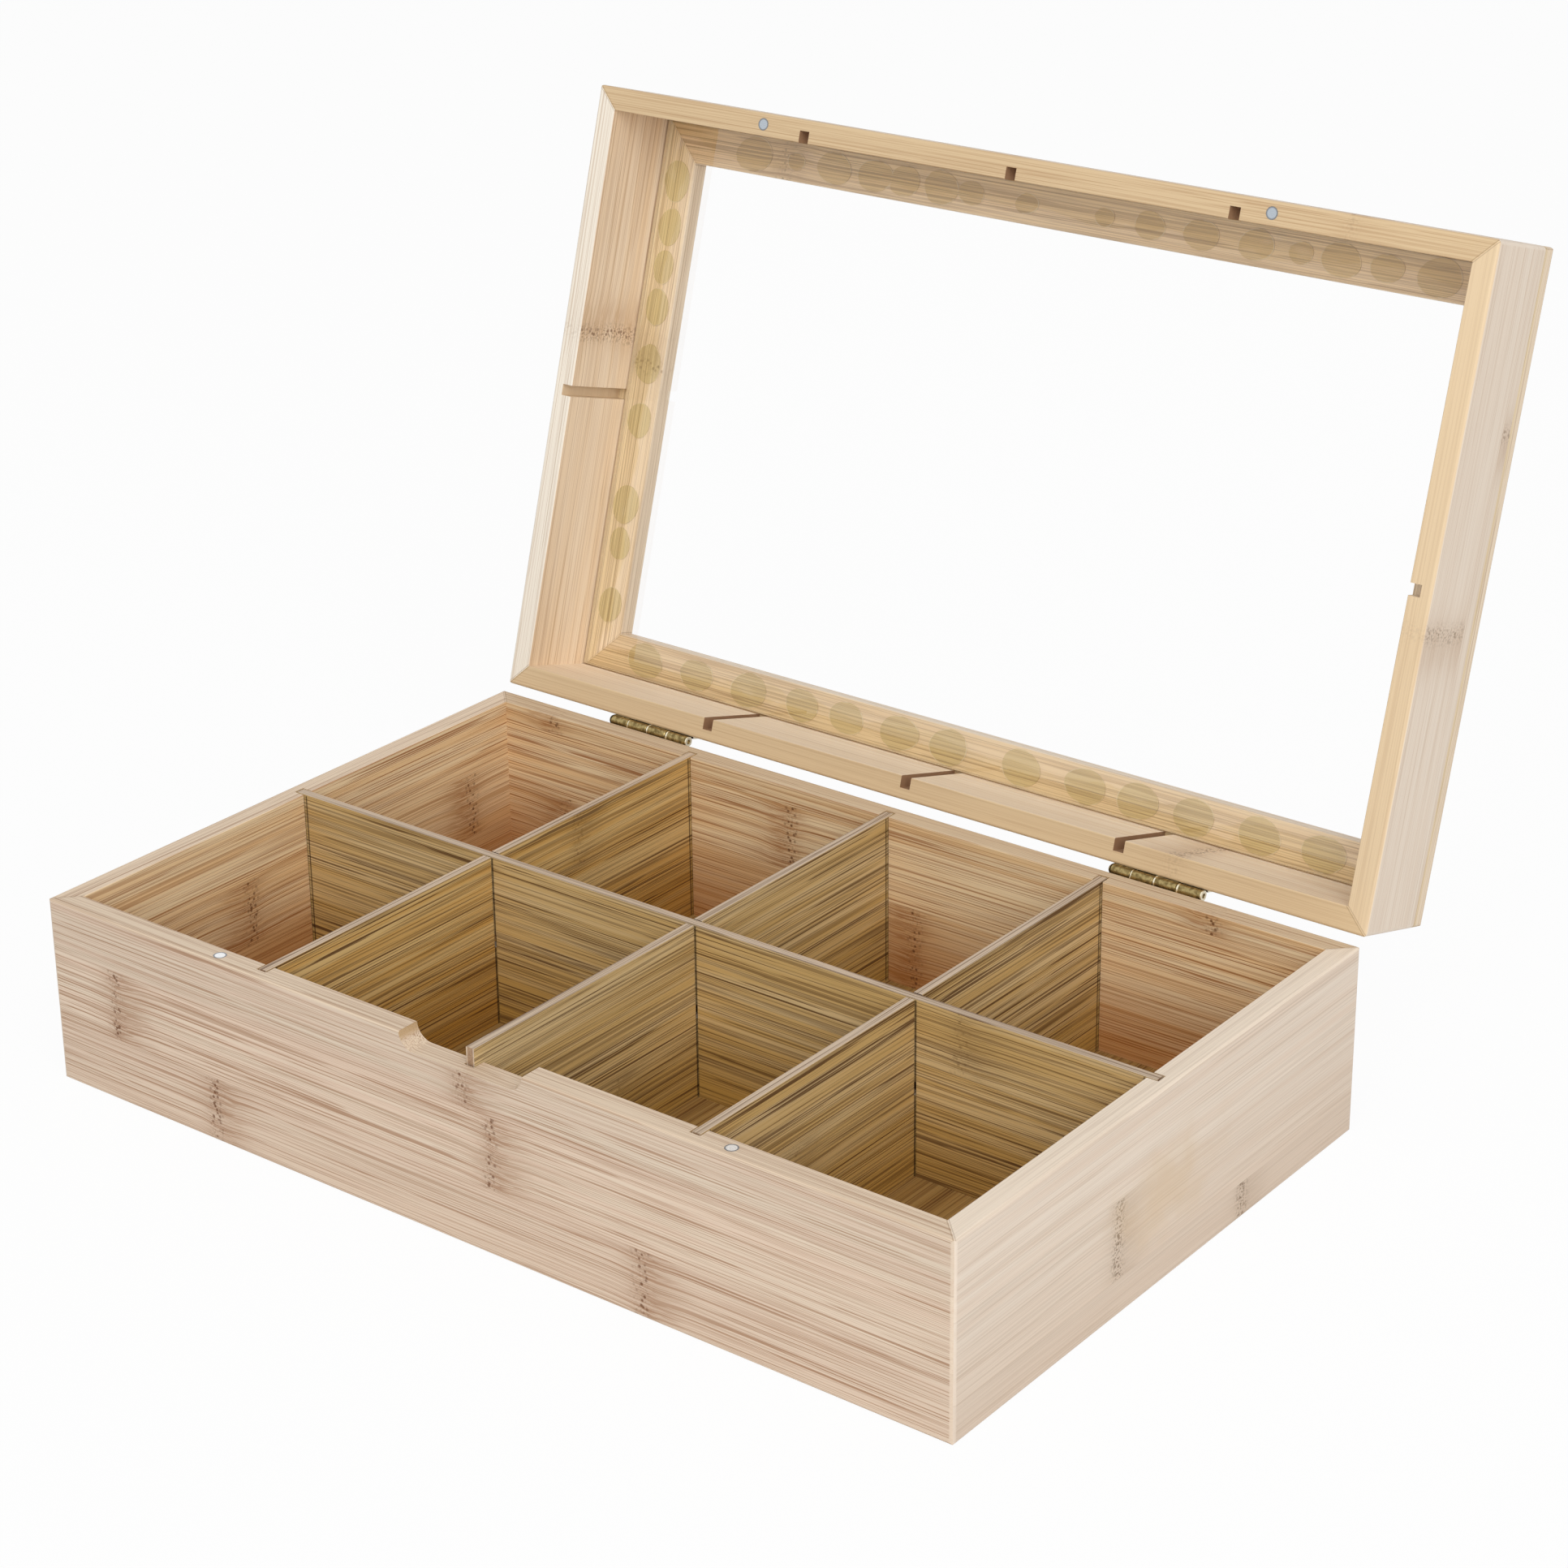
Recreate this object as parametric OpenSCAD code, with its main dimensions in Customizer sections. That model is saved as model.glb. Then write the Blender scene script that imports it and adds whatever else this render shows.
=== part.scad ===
// Tea bag organizer box: a bamboo box with eight compartments, a lift-out grid of
// half-lapped dividers and a hinged lid with a clear window. The lid stands open.
// Millimetres. The origin is the centre of the underside: +X right, +Y back, +Z up.
// Everything on the lid is drawn closed and then swung open about the hinge axis.

/* [Box] */
// Outside length, left to right
box_l = 340; // [320:1:380]
// Outside depth, front to back
box_d = 209; // [190:1:240]
// Height of the base, from its underside to its rim
base_h = 62; // [56:0.5:80]
// Thickness of the walls and of the lid's rails
wall_t = 7.8; // [7:0.1:10]
// Thickness of the bottom panel
bottom_t = 3.7; // [3:0.1:5]
// Rounding of the outer edges
edge_r = 1.5; // [0.8:0.1:2.5]
// Rounding of the outer edges where lid and base meet
rim_r = 1; // [0.5:0.1:1.5]
// Easing of the inner edges
ease_r = 0.4; // [0.2:0.1:0.8]

/* [Lid] */
// Height of the lid's rails
rail_h = 31.2; // [26:0.1:40]
// Thickness of the window frame that lies on the rails
frame_t = 6.4; // [5:0.1:9]
// Width of the window frame
frame_w = 21.4; // [16:0.1:30]
// Rounding of the lid's top edges
lid_top_r = 1.8; // [1:0.1:3]
// Thickness of the clear panel
panel_t = 1.5; // [1:0.1:3]
// Gap between the panel's edge and the rails
panel_gap = 0.5; // [0.2:0.1:1]
// Thickness of the glue dots between panel and frame
glue_t = 0.3; // [0.2:0.1:0.5]
// Gap between lid and base when the lid is shut
lid_gap = 0.4; // [0.3:0.1:1]
// Angle from shut at which the lid stands open
open_angle = 106.3; // [95:0.1:115]

/* [Dividers] */
// Thickness of the three-ply dividers
divider_t = 3; // [2.5:0.1:3.5]
// Width of the grooves and slots that take them
slot_w = 3.8; // [3.4:0.1:4]
// Depth of the grooves in walls and rails, and of the rabbet for the bottom panel
groove_d = 4; // [3:0.1:4.5]
// Gap between a divider's end and the bottom of its groove
end_gap = 0.7; // [0.6:0.1:1.2]
// Height of the open window left in the middle of each half-lap joint
lap_window = 4.5; // [1:0.1:6]

/* [Finger notch and magnets] */
// Length of the finger notch at the rim
notch_l = 46.5; // [30:0.5:60]
// Depth of the finger notch, which is also the radius of its ends
notch_d = 5.4; // [4:0.1:8]
// Diameter of the magnets
magnet_d = 4; // [3:0.1:5]
// Thickness of the magnets
magnet_t = 3; // [2:0.1:4]
// Place of the left magnets, measured from the middle
magnet_left_x = -99; // [-130:1:-60]
// Place of the right magnets, measured from the middle
magnet_right_x = 94.5; // [60:0.5:130]

/* [Hinges] */
// Length of a hinge, pin heads included
hinge_l = 34.3; // [30:0.1:40]
// Place of the left hinge's middle
hinge_left_x = -105.6; // [-130:0.1:-70]
// Place of the right hinge's middle
hinge_right_x = 97.1; // [70:0.1:130]
// Height of a leaf, measured from the hinge axis
leaf_h = 11; // [10:0.1:14]
// Thickness of a leaf
leaf_t = 0.9; // [0.8:0.1:1]
// Distance of the hinge axis from the wood
axis_offset = 1.8; // [1.8:0.1:2.2]
// Radius of the knuckles
knuckle_r = 1.7; // [1.6:0.05:1.7]
// Radius of the hinge pin
pin_r = 0.8; // [0.7:0.05:0.8]
// Length of the screws under their heads' top faces
screw_l = 6; // [5:0.1:7]
// Distance between a leaf's two screws
screw_pitch = 20; // [18:0.5:22]

/* [Hidden] */

$fn = 48;
over = 0.5;            // how far a cutter runs past the face it cuts

// The four sides of the box, as turns of the front side about +Z
FRONT = 0;
RIGHT = 90;
BACK = 180;
LEFT = 270;

// Box
inner_l = box_l - 2 * wall_t;
inner_d = box_d - 2 * wall_t;
wall_mid_y = (box_d - wall_t) / 2;
panel_fit = 0.15;      // gap round the bottom panel in its rabbet

// Lid, shut
lid_z = base_h + lid_gap;
frame_z = lid_z + rail_h;
lid_top_z = frame_z + frame_t;
panel_z = frame_z - glue_t - panel_t;
ledge_mid = frame_w - (frame_w - wall_t) / 2;  // from the outer face to the middle of the glued ledge

// Grid
divider_h = base_h - bottom_t;
cross_pitch = (inner_l - 3 * divider_t) / 4 + divider_t;
cross_x = [-cross_pitch, 0, cross_pitch];
lap_mid_z = bottom_t + divider_h / 2;

// Hinges. Their axis is half way up the gap between lid and base.
axis_y = box_d / 2 + axis_offset;
axis_z = base_h + lid_gap / 2;
bore_r = pin_r + 0.05;
head_t = 1.1;          // thickness of the pin's heads
knuckle_pitch = (hinge_l - head_t) / 4;
knuckle_gap = 0.12;
knuckle_chamfer = 0.25;
BASE_KNUCKLES = [1, 3];
LID_KNUCKLES = [0, 2];
notch_gap = 0.5;       // gap between a leaf and the other leaf's knuckles
leaf_corner_r = 1.2;
leaf_gap = axis_offset - leaf_t;               // from the axis to a leaf's outer face
stop_w = 5;            // width of the lip that stops the lid
stop_t = 1.1;
stop_gap = 0.15;
stop_reach = 3.2;      // where on the lid leaf the lip stops it, from the axis
screw_z = 6.5;         // from the axis to a leaf's row of screws
shank_r = 1;
screw_head_r = shank_r + leaf_t;               // a 90 degree countersink through the leaf
screw_fit = 0.05;
magnet_fit = 0.05;

// Glue dots, each [place along the side, diameter], as a hand set them
FRONT_DOTS = [[-124, 12], [-106, 6], [-90, 11], [-73, 11], [-61, 10], [-46, 11], [-34, 8],
    [-12, 7], [18, 6], [35, 9], [54, 10], [74, 10], [90, 7], [104, 11], [120, 9], [138, 12]];
BACK_DOTS = [[-136, 12], [-113, 12], [-89, 12], [-68, 12], [-48, 12], [-23, 12], [6, 12],
    [26, 12], [48, 11], [67, 11], [90, 12], [113, 11], [136, 12]];
LEFT_DOTS = [[-74, 10], [-52, 9], [-38, 11], [-8, 10], [12, 11], [32, 10], [46, 9], [60, 10],
    [76, 11]];
RIGHT_DOTS = [[-70, 11], [-45, 10], [-18, 12], [8, 10], [30, 11], [58, 12], [78, 9]];

// ---- Boards -------------------------------------------------------------------------------

// Cuts a quarter-round off the corner at [0, 0] of a shape that lies towards +x and +y
module round_cutter(r) {
    difference() {
        translate([-over, -over])
            square(r + over);
        translate([r, r])
            circle(r);
    }
}

// A rectangle with its corner at [0, 0] and its own radius at each corner, in the order
// lower left, lower right, upper right, upper left
module board_profile(width, height, radii) {
    corners = [[0, 0], [width, 0], [width, height], [0, height]];
    difference() {
        square([width, height]);
        for (i = [0:3])
            if (radii[i] > 0)
                translate(corners[i])
                    rotate(90 * i)
                        round_cutter(radii[i]);
    }
}

// The box's outline from above, with its rounded upright edges, as tall as asked
module plan_block(low_z, high_z) {
    translate([-box_l / 2, -box_d / 2, low_z])
        linear_extrude(high_z - low_z)
            board_profile(box_l, box_d, [edge_r, edge_r, edge_r, edge_r]);
}

// One side of a mitred frame round the box. The child is its cross-section, with the outer
// face on x = 0 and the underside on y = 0. width and height are the section's size.
module mitred_side(side, low_z, width, height) {
    along_x = side == FRONT || side == BACK;
    span = along_x ? box_l : box_d;
    reach = (along_x ? box_d : box_l) / 2;
    intersection() {
        rotate(side)
            intersection() {
                translate([-span / 2, -reach, low_z])
                    rotate([90, 0, 90])
                        linear_extrude(span)
                            children();
                // the two mitre cuts, 45 degrees through the corners
                translate([0, -reach, low_z - over])
                    linear_extrude(height + 2 * over)
                        polygon([[-span / 2 - over, -over], [span / 2 + over, -over],
                            [span / 2 - width - over, width + over],
                            [-span / 2 + width + over, width + over]]);
            }
        plan_block(low_z, low_z + height);
    }
}

// ---- Cutters for grooves, bores and the notch ----------------------------------------------

module cross_grooves(low_z, high_z) {
    for (x = cross_x)
        translate([x - slot_w / 2, -inner_d / 2 - groove_d, low_z])
            cube([slot_w, inner_d + 2 * groove_d, high_z - low_z]);
}

module long_groove(low_z, high_z) {
    translate([-inner_l / 2 - groove_d, -slot_w / 2, low_z])
        cube([inner_l + 2 * groove_d, slot_w, high_z - low_z]);
}

module finger_notch() {
    half_floor = notch_l / 2 - notch_d;
    translate([0, -box_d / 2 - over, base_h]) {
        translate([-half_floor, 0, -notch_d])
            cube([2 * half_floor, wall_t + 2 * over, notch_d + over]);
        for (x = [-half_floor, half_floor])
            translate([x, 0, 0])
                rotate([-90, 0, 0])
                    cylinder(h = wall_t + 2 * over, r = notch_d);
    }
}

// Bore in a rim for a magnet. turn is 0 for one that opens upwards and 180 for downwards.
module magnet_bore(x, z, turn) {
    translate([x, -wall_mid_y, z])
        rotate([turn, 0, 0])
            translate([0, 0, -magnet_t])
                cylinder(h = magnet_t + over, r = magnet_d / 2 + magnet_fit);
}

module magnet(x, z, turn) {
    translate([x, -wall_mid_y, z])
        rotate([turn, 0, 0])
            translate([0, 0, -magnet_t])
                cylinder(h = magnet_t, r = magnet_d / 2);
}

// ---- Hinges, drawn shut with their axis on X and the wood at y = -axis_offset --------------
// up is 1 for the lid's leaf and -1 for the base's

module at_hinge(x) {
    translate([x, axis_y, axis_z])
        children();
}

module swung_open() {
    translate([0, axis_y, axis_z])
        rotate([-open_angle, 0, 0])
            translate([0, -axis_y, -axis_z])
                children();
}

function knuckle_x(i) = -hinge_l / 2 + i * knuckle_pitch;

module knuckle(i) {
    low = knuckle_x(i) + (i == 0 ? head_t + knuckle_gap : knuckle_gap / 2);
    high = knuckle_x(i + 1) - (i == 3 ? 0 : knuckle_gap / 2);
    length = high - low;
    translate([low, 0, 0])
        rotate([90, 0, 90])
            rotate_extrude()
                polygon([[0, 0], [knuckle_r - knuckle_chamfer, 0], [knuckle_r, knuckle_chamfer],
                    [knuckle_r, length - knuckle_chamfer], [knuckle_r - knuckle_chamfer, length],
                    [0, length]]);
}

// The flat plate of a leaf, with notches for the other leaf's knuckles and for the pin's heads
module leaf_plate(own_knuckles, up) {
    left = -hinge_l / 2;
    right = hinge_l / 2;
    mirror([0, 0, up > 0 ? 0 : 1])
        translate([0, -axis_offset, 0])
            difference() {
                translate([left, leaf_t, 0])
                    rotate([90, 0, 0])
                        linear_extrude(leaf_t)
                            board_profile(hinge_l, leaf_h, [0, 0, leaf_corner_r, leaf_corner_r]);
                for (i = [0:3])
                    if (len(search(i, own_knuckles)) == 0)
                        plate_notch(knuckle_x(i), knuckle_x(i + 1));
                plate_notch(left - over, left + head_t + knuckle_gap);
                plate_notch(right - head_t, right + over);
            }
}

module plate_notch(low_x, high_x) {
    translate([low_x, -over, -over])
        cube([high_x - low_x, leaf_t + 2 * over, knuckle_r + notch_gap + over]);
}

// Places a leaf's two screws, head outwards
module at_screws(up) {
    for (x = [-screw_pitch / 2, screw_pitch / 2])
        translate([x, -leaf_gap, up * screw_z])
            rotate([90, 0, 0])
                children();
}

// A countersunk screw from its head's top face at z = 0 towards +z
module screw_body(r_more) {
    cylinder(h = leaf_t, r1 = screw_head_r + r_more, r2 = shank_r + r_more);
    cylinder(h = screw_l, r = shank_r + r_more);
}

module hinge_screw() {
    recess = [2.4, 0.45, 0.5];
    difference() {
        screw_body(0);
        for (turn = [45, 135])
            rotate(turn)
                translate([-recess.x / 2, -recess.y / 2, -recess.z])
                    cube([recess.x, recess.y, 2 * recess.z]);
    }
}

module leaf(own_knuckles, up) {
    difference() {
        union() {
            leaf_plate(own_knuckles, up);
            for (i = own_knuckles)
                knuckle(i);
            if (up < 0)
                stop_lip();
        }
        translate([-hinge_l / 2 - over, 0, 0])
            rotate([0, 90, 0])
                cylinder(h = hinge_l + 2 * over, r = bore_r);
        at_screws(up)
            translate([0, 0, -screw_fit])
                screw_body(screw_fit);
    }
}

// A lip bent out of the base's leaf under the barrel. The lid's leaf comes to rest on it.
module stop_lip() {
    lid_run = [sin(open_angle), cos(open_angle)];      // way of the open lid leaf, as [y, z]
    lid_face = [cos(open_angle), -sin(open_angle)];    // its outer face's normal
    tip = lid_run * stop_reach - lid_face * (leaf_gap - stop_gap);
    root = [-leaf_gap - leaf_t / 2, -1.2 * knuckle_r - stop_t];
    translate([(knuckle_x(1) + knuckle_x(2) - stop_w) / 2, 0, 0])
        rotate([90, 0, 90])
            linear_extrude(stop_w)
                polygon([root, root - [0, stop_t], tip + lid_run * stop_t, tip]);
}

// The pin, with a domed head at the left and a collar with a hollow end at the right
module hinge_pin() {
    dome_r = (knuckle_r * knuckle_r + head_t * head_t) / (2 * head_t);
    left = -hinge_l / 2;
    right = hinge_l / 2;
    rotate([0, 90, 0]) {
        translate([0, 0, left + head_t / 2])
            cylinder(h = hinge_l - head_t, r = pin_r);
        intersection() {
            translate([0, 0, left + dome_r])
                sphere(dome_r);
            translate([0, 0, left])
                cylinder(h = head_t, r = knuckle_r);
        }
        translate([0, 0, right - head_t])
            difference() {
                cylinder(h = head_t, r = knuckle_r);
                translate([0, 0, head_t])
                    cylinder(h = head_t, r = bore_r, center = true);
            }
    }
}

// ---- Base ----------------------------------------------------------------------------------

module base_side(side) {
    difference() {
        mitred_side(side, 0, wall_t, base_h)
            difference() {
                board_profile(wall_t, base_h, [edge_r, 0, ease_r, rim_r]);
                translate([wall_t - groove_d, -over])
                    square([groove_d + over, bottom_t + over]);
            }
        cross_grooves(-over, base_h + over);
        long_groove(-over, base_h + over);
    }
}

module front_wall() {
    color("burlywood")
        difference() {
            base_side(FRONT);
            finger_notch();
            magnet_bore(magnet_left_x, base_h, 0);
            magnet_bore(magnet_right_x, base_h, 0);
        }
}

module back_wall() {
    color("burlywood")
        difference() {
            base_side(BACK);
            for (x = [hinge_left_x, hinge_right_x])
                at_hinge(x)
                    at_screws(-1)
                        cylinder(h = screw_l, r = shank_r + screw_fit);
        }
}

module left_wall() {
    color("burlywood")
        base_side(LEFT);
}

module right_wall() {
    color("burlywood")
        base_side(RIGHT);
}

module bottom_panel() {
    length = inner_l + 2 * (groove_d - panel_fit);
    depth = inner_d + 2 * (groove_d - panel_fit);
    color("tan")
        translate([-length / 2, -depth / 2, 0])
            cube([length, depth, bottom_t]);
}

module left_base_magnet() {
    color("silver")
        magnet(magnet_left_x, base_h, 0);
}

module right_base_magnet() {
    color("silver")
        magnet(magnet_right_x, base_h, 0);
}

// ---- Hinge pieces --------------------------------------------------------------------------

module left_hinge_base_leaf() {
    color("darkkhaki")
        at_hinge(hinge_left_x)
            leaf(BASE_KNUCKLES, -1);
}

module right_hinge_base_leaf() {
    color("darkkhaki")
        at_hinge(hinge_right_x)
            leaf(BASE_KNUCKLES, -1);
}

module left_hinge_lid_leaf() {
    color("darkkhaki")
        swung_open()
            at_hinge(hinge_left_x)
                leaf(LID_KNUCKLES, 1);
}

module right_hinge_lid_leaf() {
    color("darkkhaki")
        swung_open()
            at_hinge(hinge_right_x)
                leaf(LID_KNUCKLES, 1);
}

module left_hinge_pin() {
    color("goldenrod")
        at_hinge(hinge_left_x)
            hinge_pin();
}

module right_hinge_pin() {
    color("goldenrod")
        at_hinge(hinge_right_x)
            hinge_pin();
}

module base_hinge_screws() {
    color("goldenrod")
        for (x = [hinge_left_x, hinge_right_x])
            at_hinge(x)
                at_screws(-1)
                    hinge_screw();
}

module lid_hinge_screws() {
    color("goldenrod")
        swung_open()
            for (x = [hinge_left_x, hinge_right_x])
                at_hinge(x)
                    at_screws(1)
                        hinge_screw();
}

// ---- Lid -----------------------------------------------------------------------------------

module lid_rail(side) {
    difference() {
        mitred_side(side, lid_z, wall_t, rail_h)
            board_profile(wall_t, rail_h, [rim_r, ease_r, 0, 0]);
        cross_grooves(lid_z - over, frame_z + over);
        long_groove(lid_z - over, frame_z + over);
    }
}

module frame_side(side) {
    mitred_side(side, frame_z, frame_w, frame_t)
        board_profile(frame_w, frame_t, [0, ease_r, ease_r, lid_top_r]);
}

module lid_front_rail() {
    color("wheat")
        swung_open()
            difference() {
                lid_rail(FRONT);
                magnet_bore(magnet_left_x, lid_z, 180);
                magnet_bore(magnet_right_x, lid_z, 180);
            }
}

module lid_back_rail() {
    color("wheat")
        swung_open()
            difference() {
                lid_rail(BACK);
                for (x = [hinge_left_x, hinge_right_x])
                    at_hinge(x)
                        at_screws(1)
                            cylinder(h = screw_l, r = shank_r + screw_fit);
            }
}

module lid_left_rail() {
    color("wheat")
        swung_open()
            lid_rail(LEFT);
}

module lid_right_rail() {
    color("wheat")
        swung_open()
            lid_rail(RIGHT);
}

module window_frame_front() {
    color("burlywood")
        swung_open()
            frame_side(FRONT);
}

module window_frame_back() {
    color("burlywood")
        swung_open()
            frame_side(BACK);
}

module window_frame_left() {
    color("burlywood")
        swung_open()
            frame_side(LEFT);
}

module window_frame_right() {
    color("burlywood")
        swung_open()
            frame_side(RIGHT);
}

module window_panel() {
    length = inner_l - 2 * panel_gap;
    depth = inner_d - 2 * panel_gap;
    color("lightcyan", 0.3)
        swung_open()
            translate([-length / 2, -depth / 2, panel_z])
                cube([length, depth, panel_t]);
}

// A row of glue dots along one side's ledge
module dot_row(side, reach, dots) {
    rotate(side)
        for (dot = dots)
            translate([dot[0], -reach + ledge_mid, panel_z + panel_t])
                cylinder(h = glue_t, d = dot[1]);
}

module glue_dots() {
    color("khaki")
        swung_open() {
            dot_row(FRONT, box_d / 2, FRONT_DOTS);
            dot_row(BACK, box_d / 2, BACK_DOTS);
            dot_row(LEFT, box_l / 2, LEFT_DOTS);
            dot_row(RIGHT, box_l / 2, RIGHT_DOTS);
        }
}

module left_lid_magnet() {
    color("silver")
        swung_open()
            magnet(magnet_left_x, lid_z, 180);
}

module right_lid_magnet() {
    color("silver")
        swung_open()
            magnet(magnet_right_x, lid_z, 180);
}

// ---- Grid ----------------------------------------------------------------------------------

// A divider across the box, slotted from above to the middle for the long divider
module cross_divider(x) {
    length = inner_d + 2 * (groove_d - end_gap);
    slot_z = lap_mid_z - lap_window / 2;
    color("darkkhaki")
        difference() {
            translate([x - divider_t / 2, -length / 2, bottom_t])
                cube([divider_t, length, divider_h]);
            translate([x - divider_t, -slot_w / 2, slot_z])
                cube([2 * divider_t, slot_w, base_h - slot_z + over]);
        }
}

module left_cross_divider() {
    cross_divider(cross_x[0]);
}

module middle_cross_divider() {
    cross_divider(cross_x[1]);
}

module right_cross_divider() {
    cross_divider(cross_x[2]);
}

// The divider along the box, slotted from below for the cross dividers
module long_divider() {
    length = inner_l + 2 * (groove_d - end_gap);
    slot_z = lap_mid_z + lap_window / 2;
    color("darkkhaki")
        difference() {
            translate([-length / 2, -divider_t / 2, bottom_t])
                cube([length, divider_t, divider_h]);
            for (x = cross_x)
                translate([x - slot_w / 2, -divider_t, bottom_t - over])
                    cube([slot_w, 2 * divider_t, slot_z - bottom_t + over]);
        }
}

// --------------------------------------------------------------------------------------------

front_wall();
back_wall();
left_wall();
right_wall();
bottom_panel();
left_base_magnet();
right_base_magnet();
left_hinge_base_leaf();
right_hinge_base_leaf();
left_hinge_pin();
right_hinge_pin();
base_hinge_screws();
lid_front_rail();
lid_back_rail();
lid_left_rail();
lid_right_rail();
window_frame_front();
window_frame_back();
window_frame_left();
window_frame_right();
window_panel();
glue_dots();
left_lid_magnet();
right_lid_magnet();
left_hinge_lid_leaf();
right_hinge_lid_leaf();
lid_hinge_screws();
left_cross_divider();
middle_cross_divider();
right_cross_divider();
long_divider();
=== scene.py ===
# %% [markdown]
# # A bamboo tea bag organizer box
#
# The box has eight compartments, a lift-out grid of thin dividers and a hinged lid with a
# clear window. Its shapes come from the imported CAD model, so this script only has to give
# every piece its finish, squash the glue, set the lights and place the camera.
#
# Almost all of the box is bamboo. Bamboo isn't grown as boards: a stalk is split, planed to
# strips and glued side by side. What the eye reads as bamboo is fine dark threads that run
# along each strip, a change of tone from strip to strip, and the knots, which are the
# speckled bands where the stalk had its joints. This lesson builds those three things once,
# as node groups, and then gives every board its own strips.

import math

import bmesh
import bpy
from mathutils import Matrix, Vector


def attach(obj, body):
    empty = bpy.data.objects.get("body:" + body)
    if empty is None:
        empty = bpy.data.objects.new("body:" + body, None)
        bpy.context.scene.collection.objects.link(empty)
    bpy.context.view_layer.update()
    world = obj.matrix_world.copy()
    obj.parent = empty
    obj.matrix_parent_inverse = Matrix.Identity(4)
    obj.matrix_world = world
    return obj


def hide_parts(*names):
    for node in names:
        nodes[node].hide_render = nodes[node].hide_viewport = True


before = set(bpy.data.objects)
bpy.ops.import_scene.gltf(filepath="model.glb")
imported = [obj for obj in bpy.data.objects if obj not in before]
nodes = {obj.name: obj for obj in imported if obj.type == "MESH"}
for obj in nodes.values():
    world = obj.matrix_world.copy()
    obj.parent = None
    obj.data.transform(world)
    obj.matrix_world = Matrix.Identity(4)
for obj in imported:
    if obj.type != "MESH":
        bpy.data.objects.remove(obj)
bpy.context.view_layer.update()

# %% [markdown]
# ## Helpers for materials
#
# Colours are easiest to judge as the hex values of a picture, but a shader wants linear
# light, so one function converts them. A second function adds a node, sets what it is told
# and links what it is given. With these two, a material can be read from top to bottom. A
# third lays one colour over another, as a knot or a line lies over the wood.


# %% Helpers
def colour(code):
    """An sRGB hex colour as linear red, green, blue and an alpha of 1."""
    parts = [int(code[i:i + 2], 16) / 255 for i in (1, 3, 5)]
    return [c / 12.92 if c <= 0.04045 else ((c + 0.055) / 1.055) ** 2.4 for c in parts] + [1.0]


def add(tree, kind, inputs=None, **settings):
    """Adds a node. An input is a value, a socket, or a node, whose first live output is used."""
    made = tree.nodes.new(kind if kind.startswith("Node") else "ShaderNode" + kind)
    for name, value in settings.items():
        setattr(made, name, value)
    for socket, value in (inputs or {}).items():
        if isinstance(value, bpy.types.Node):
            value = next(output for output in value.outputs if output.enabled)
        if isinstance(value, bpy.types.NodeSocket):
            tree.links.new(value, made.inputs[socket])
        else:
            made.inputs[socket].default_value = value
    return made


def lay_over(tree, wood, paint, where, share):
    """Lays paint over the wood. where is a socket from 0 to 1, and share says how much it covers."""
    amount = add(tree, "Math", {0: where, 1: share}, operation="MULTIPLY")
    return add(tree, "Mix", {0: amount, 6: wood, 7: paint}, data_type="RGBA")


def new_material(name):
    """An empty material, and its node tree."""
    material = bpy.data.materials.new(name)
    material.use_nodes = True
    material.node_tree.nodes.clear()
    return material, material.node_tree


def new_group(name, inputs, outputs):
    """An empty node group, and what it is given. inputs and outputs name a kind for each socket."""
    group = bpy.data.node_groups.new(name, "ShaderNodeTree")
    for direction, sockets in (("INPUT", inputs), ("OUTPUT", outputs)):
        for socket, kind in sockets.items():
            group.interface.new_socket(socket, in_out=direction, socket_type="NodeSocket" + kind)
    return group, add(group, "NodeGroupInput").outputs


def new_object(name, data):
    """An object in the scene that shows the data."""
    made = bpy.data.objects.new(name, data)
    bpy.context.scene.collection.objects.link(made)
    return made


def wear(node_name, material):
    """Gives a CAD node its finish."""
    piece = nodes[node_name]
    piece.data.materials.clear()
    piece.data.materials.append(material)


# %% [markdown]
# ## Board coordinates
#
# Grain belongs to a board, not to the room. So each board gets coordinates of its own in
# millimetres: u along the grain, v across it, and w out of its face, with w = 0 on the
# outer face. A Mapping node turns object coordinates into these. The lid's boards are
# drawn swung open, so they are first turned back to where they lie when the lid is shut.

# %% Board coordinates
OPEN_ANGLE = math.radians(106.3)


def board(node_name, turn=0.0, flat=False, lid=False):
    """The rotation, offset and size of a board's own coordinates, all in millimetres."""
    axes = Matrix.Rotation(-math.radians(turn), 3, "Z")
    if not flat:
        axes = Matrix.Rotation(-math.pi / 2, 3, "X") @ axes
    if lid:
        axes = axes @ Matrix.Rotation(OPEN_ANGLE, 3, "X")
    points = [axes @ (vertex.co * 1000) for vertex in nodes[node_name].data.vertices]
    low = Vector(min(p[i] for p in points) for i in range(3))
    high = Vector(max(p[i] for p in points) for i in range(3))
    offset = Vector((-(low.x + high.x) / 2, -low.y, -high.z))
    return {"turn": axes.to_euler("XYZ"), "offset": offset, "size": high - low}


def board_coordinates(tree, place):
    """Outputs for a point in board millimetres and for the normal in the board's axes."""
    source = add(tree, "TexCoord")
    point = add(tree, "Mapping", {
        "Vector": source.outputs["Object"],
        "Location": place["offset"],
        "Rotation": place["turn"],
        "Scale": (1000, 1000, 1000),
    }, vector_type="POINT")
    normal = add(tree, "Mapping", {
        "Vector": source.outputs["Normal"],
        "Rotation": place["turn"],
    }, vector_type="VECTOR")
    return point.outputs[0], normal.outputs[0]


print("front wall, length, height and thickness:", [round(c, 1) for c in board("front_wall")["size"]])

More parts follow.
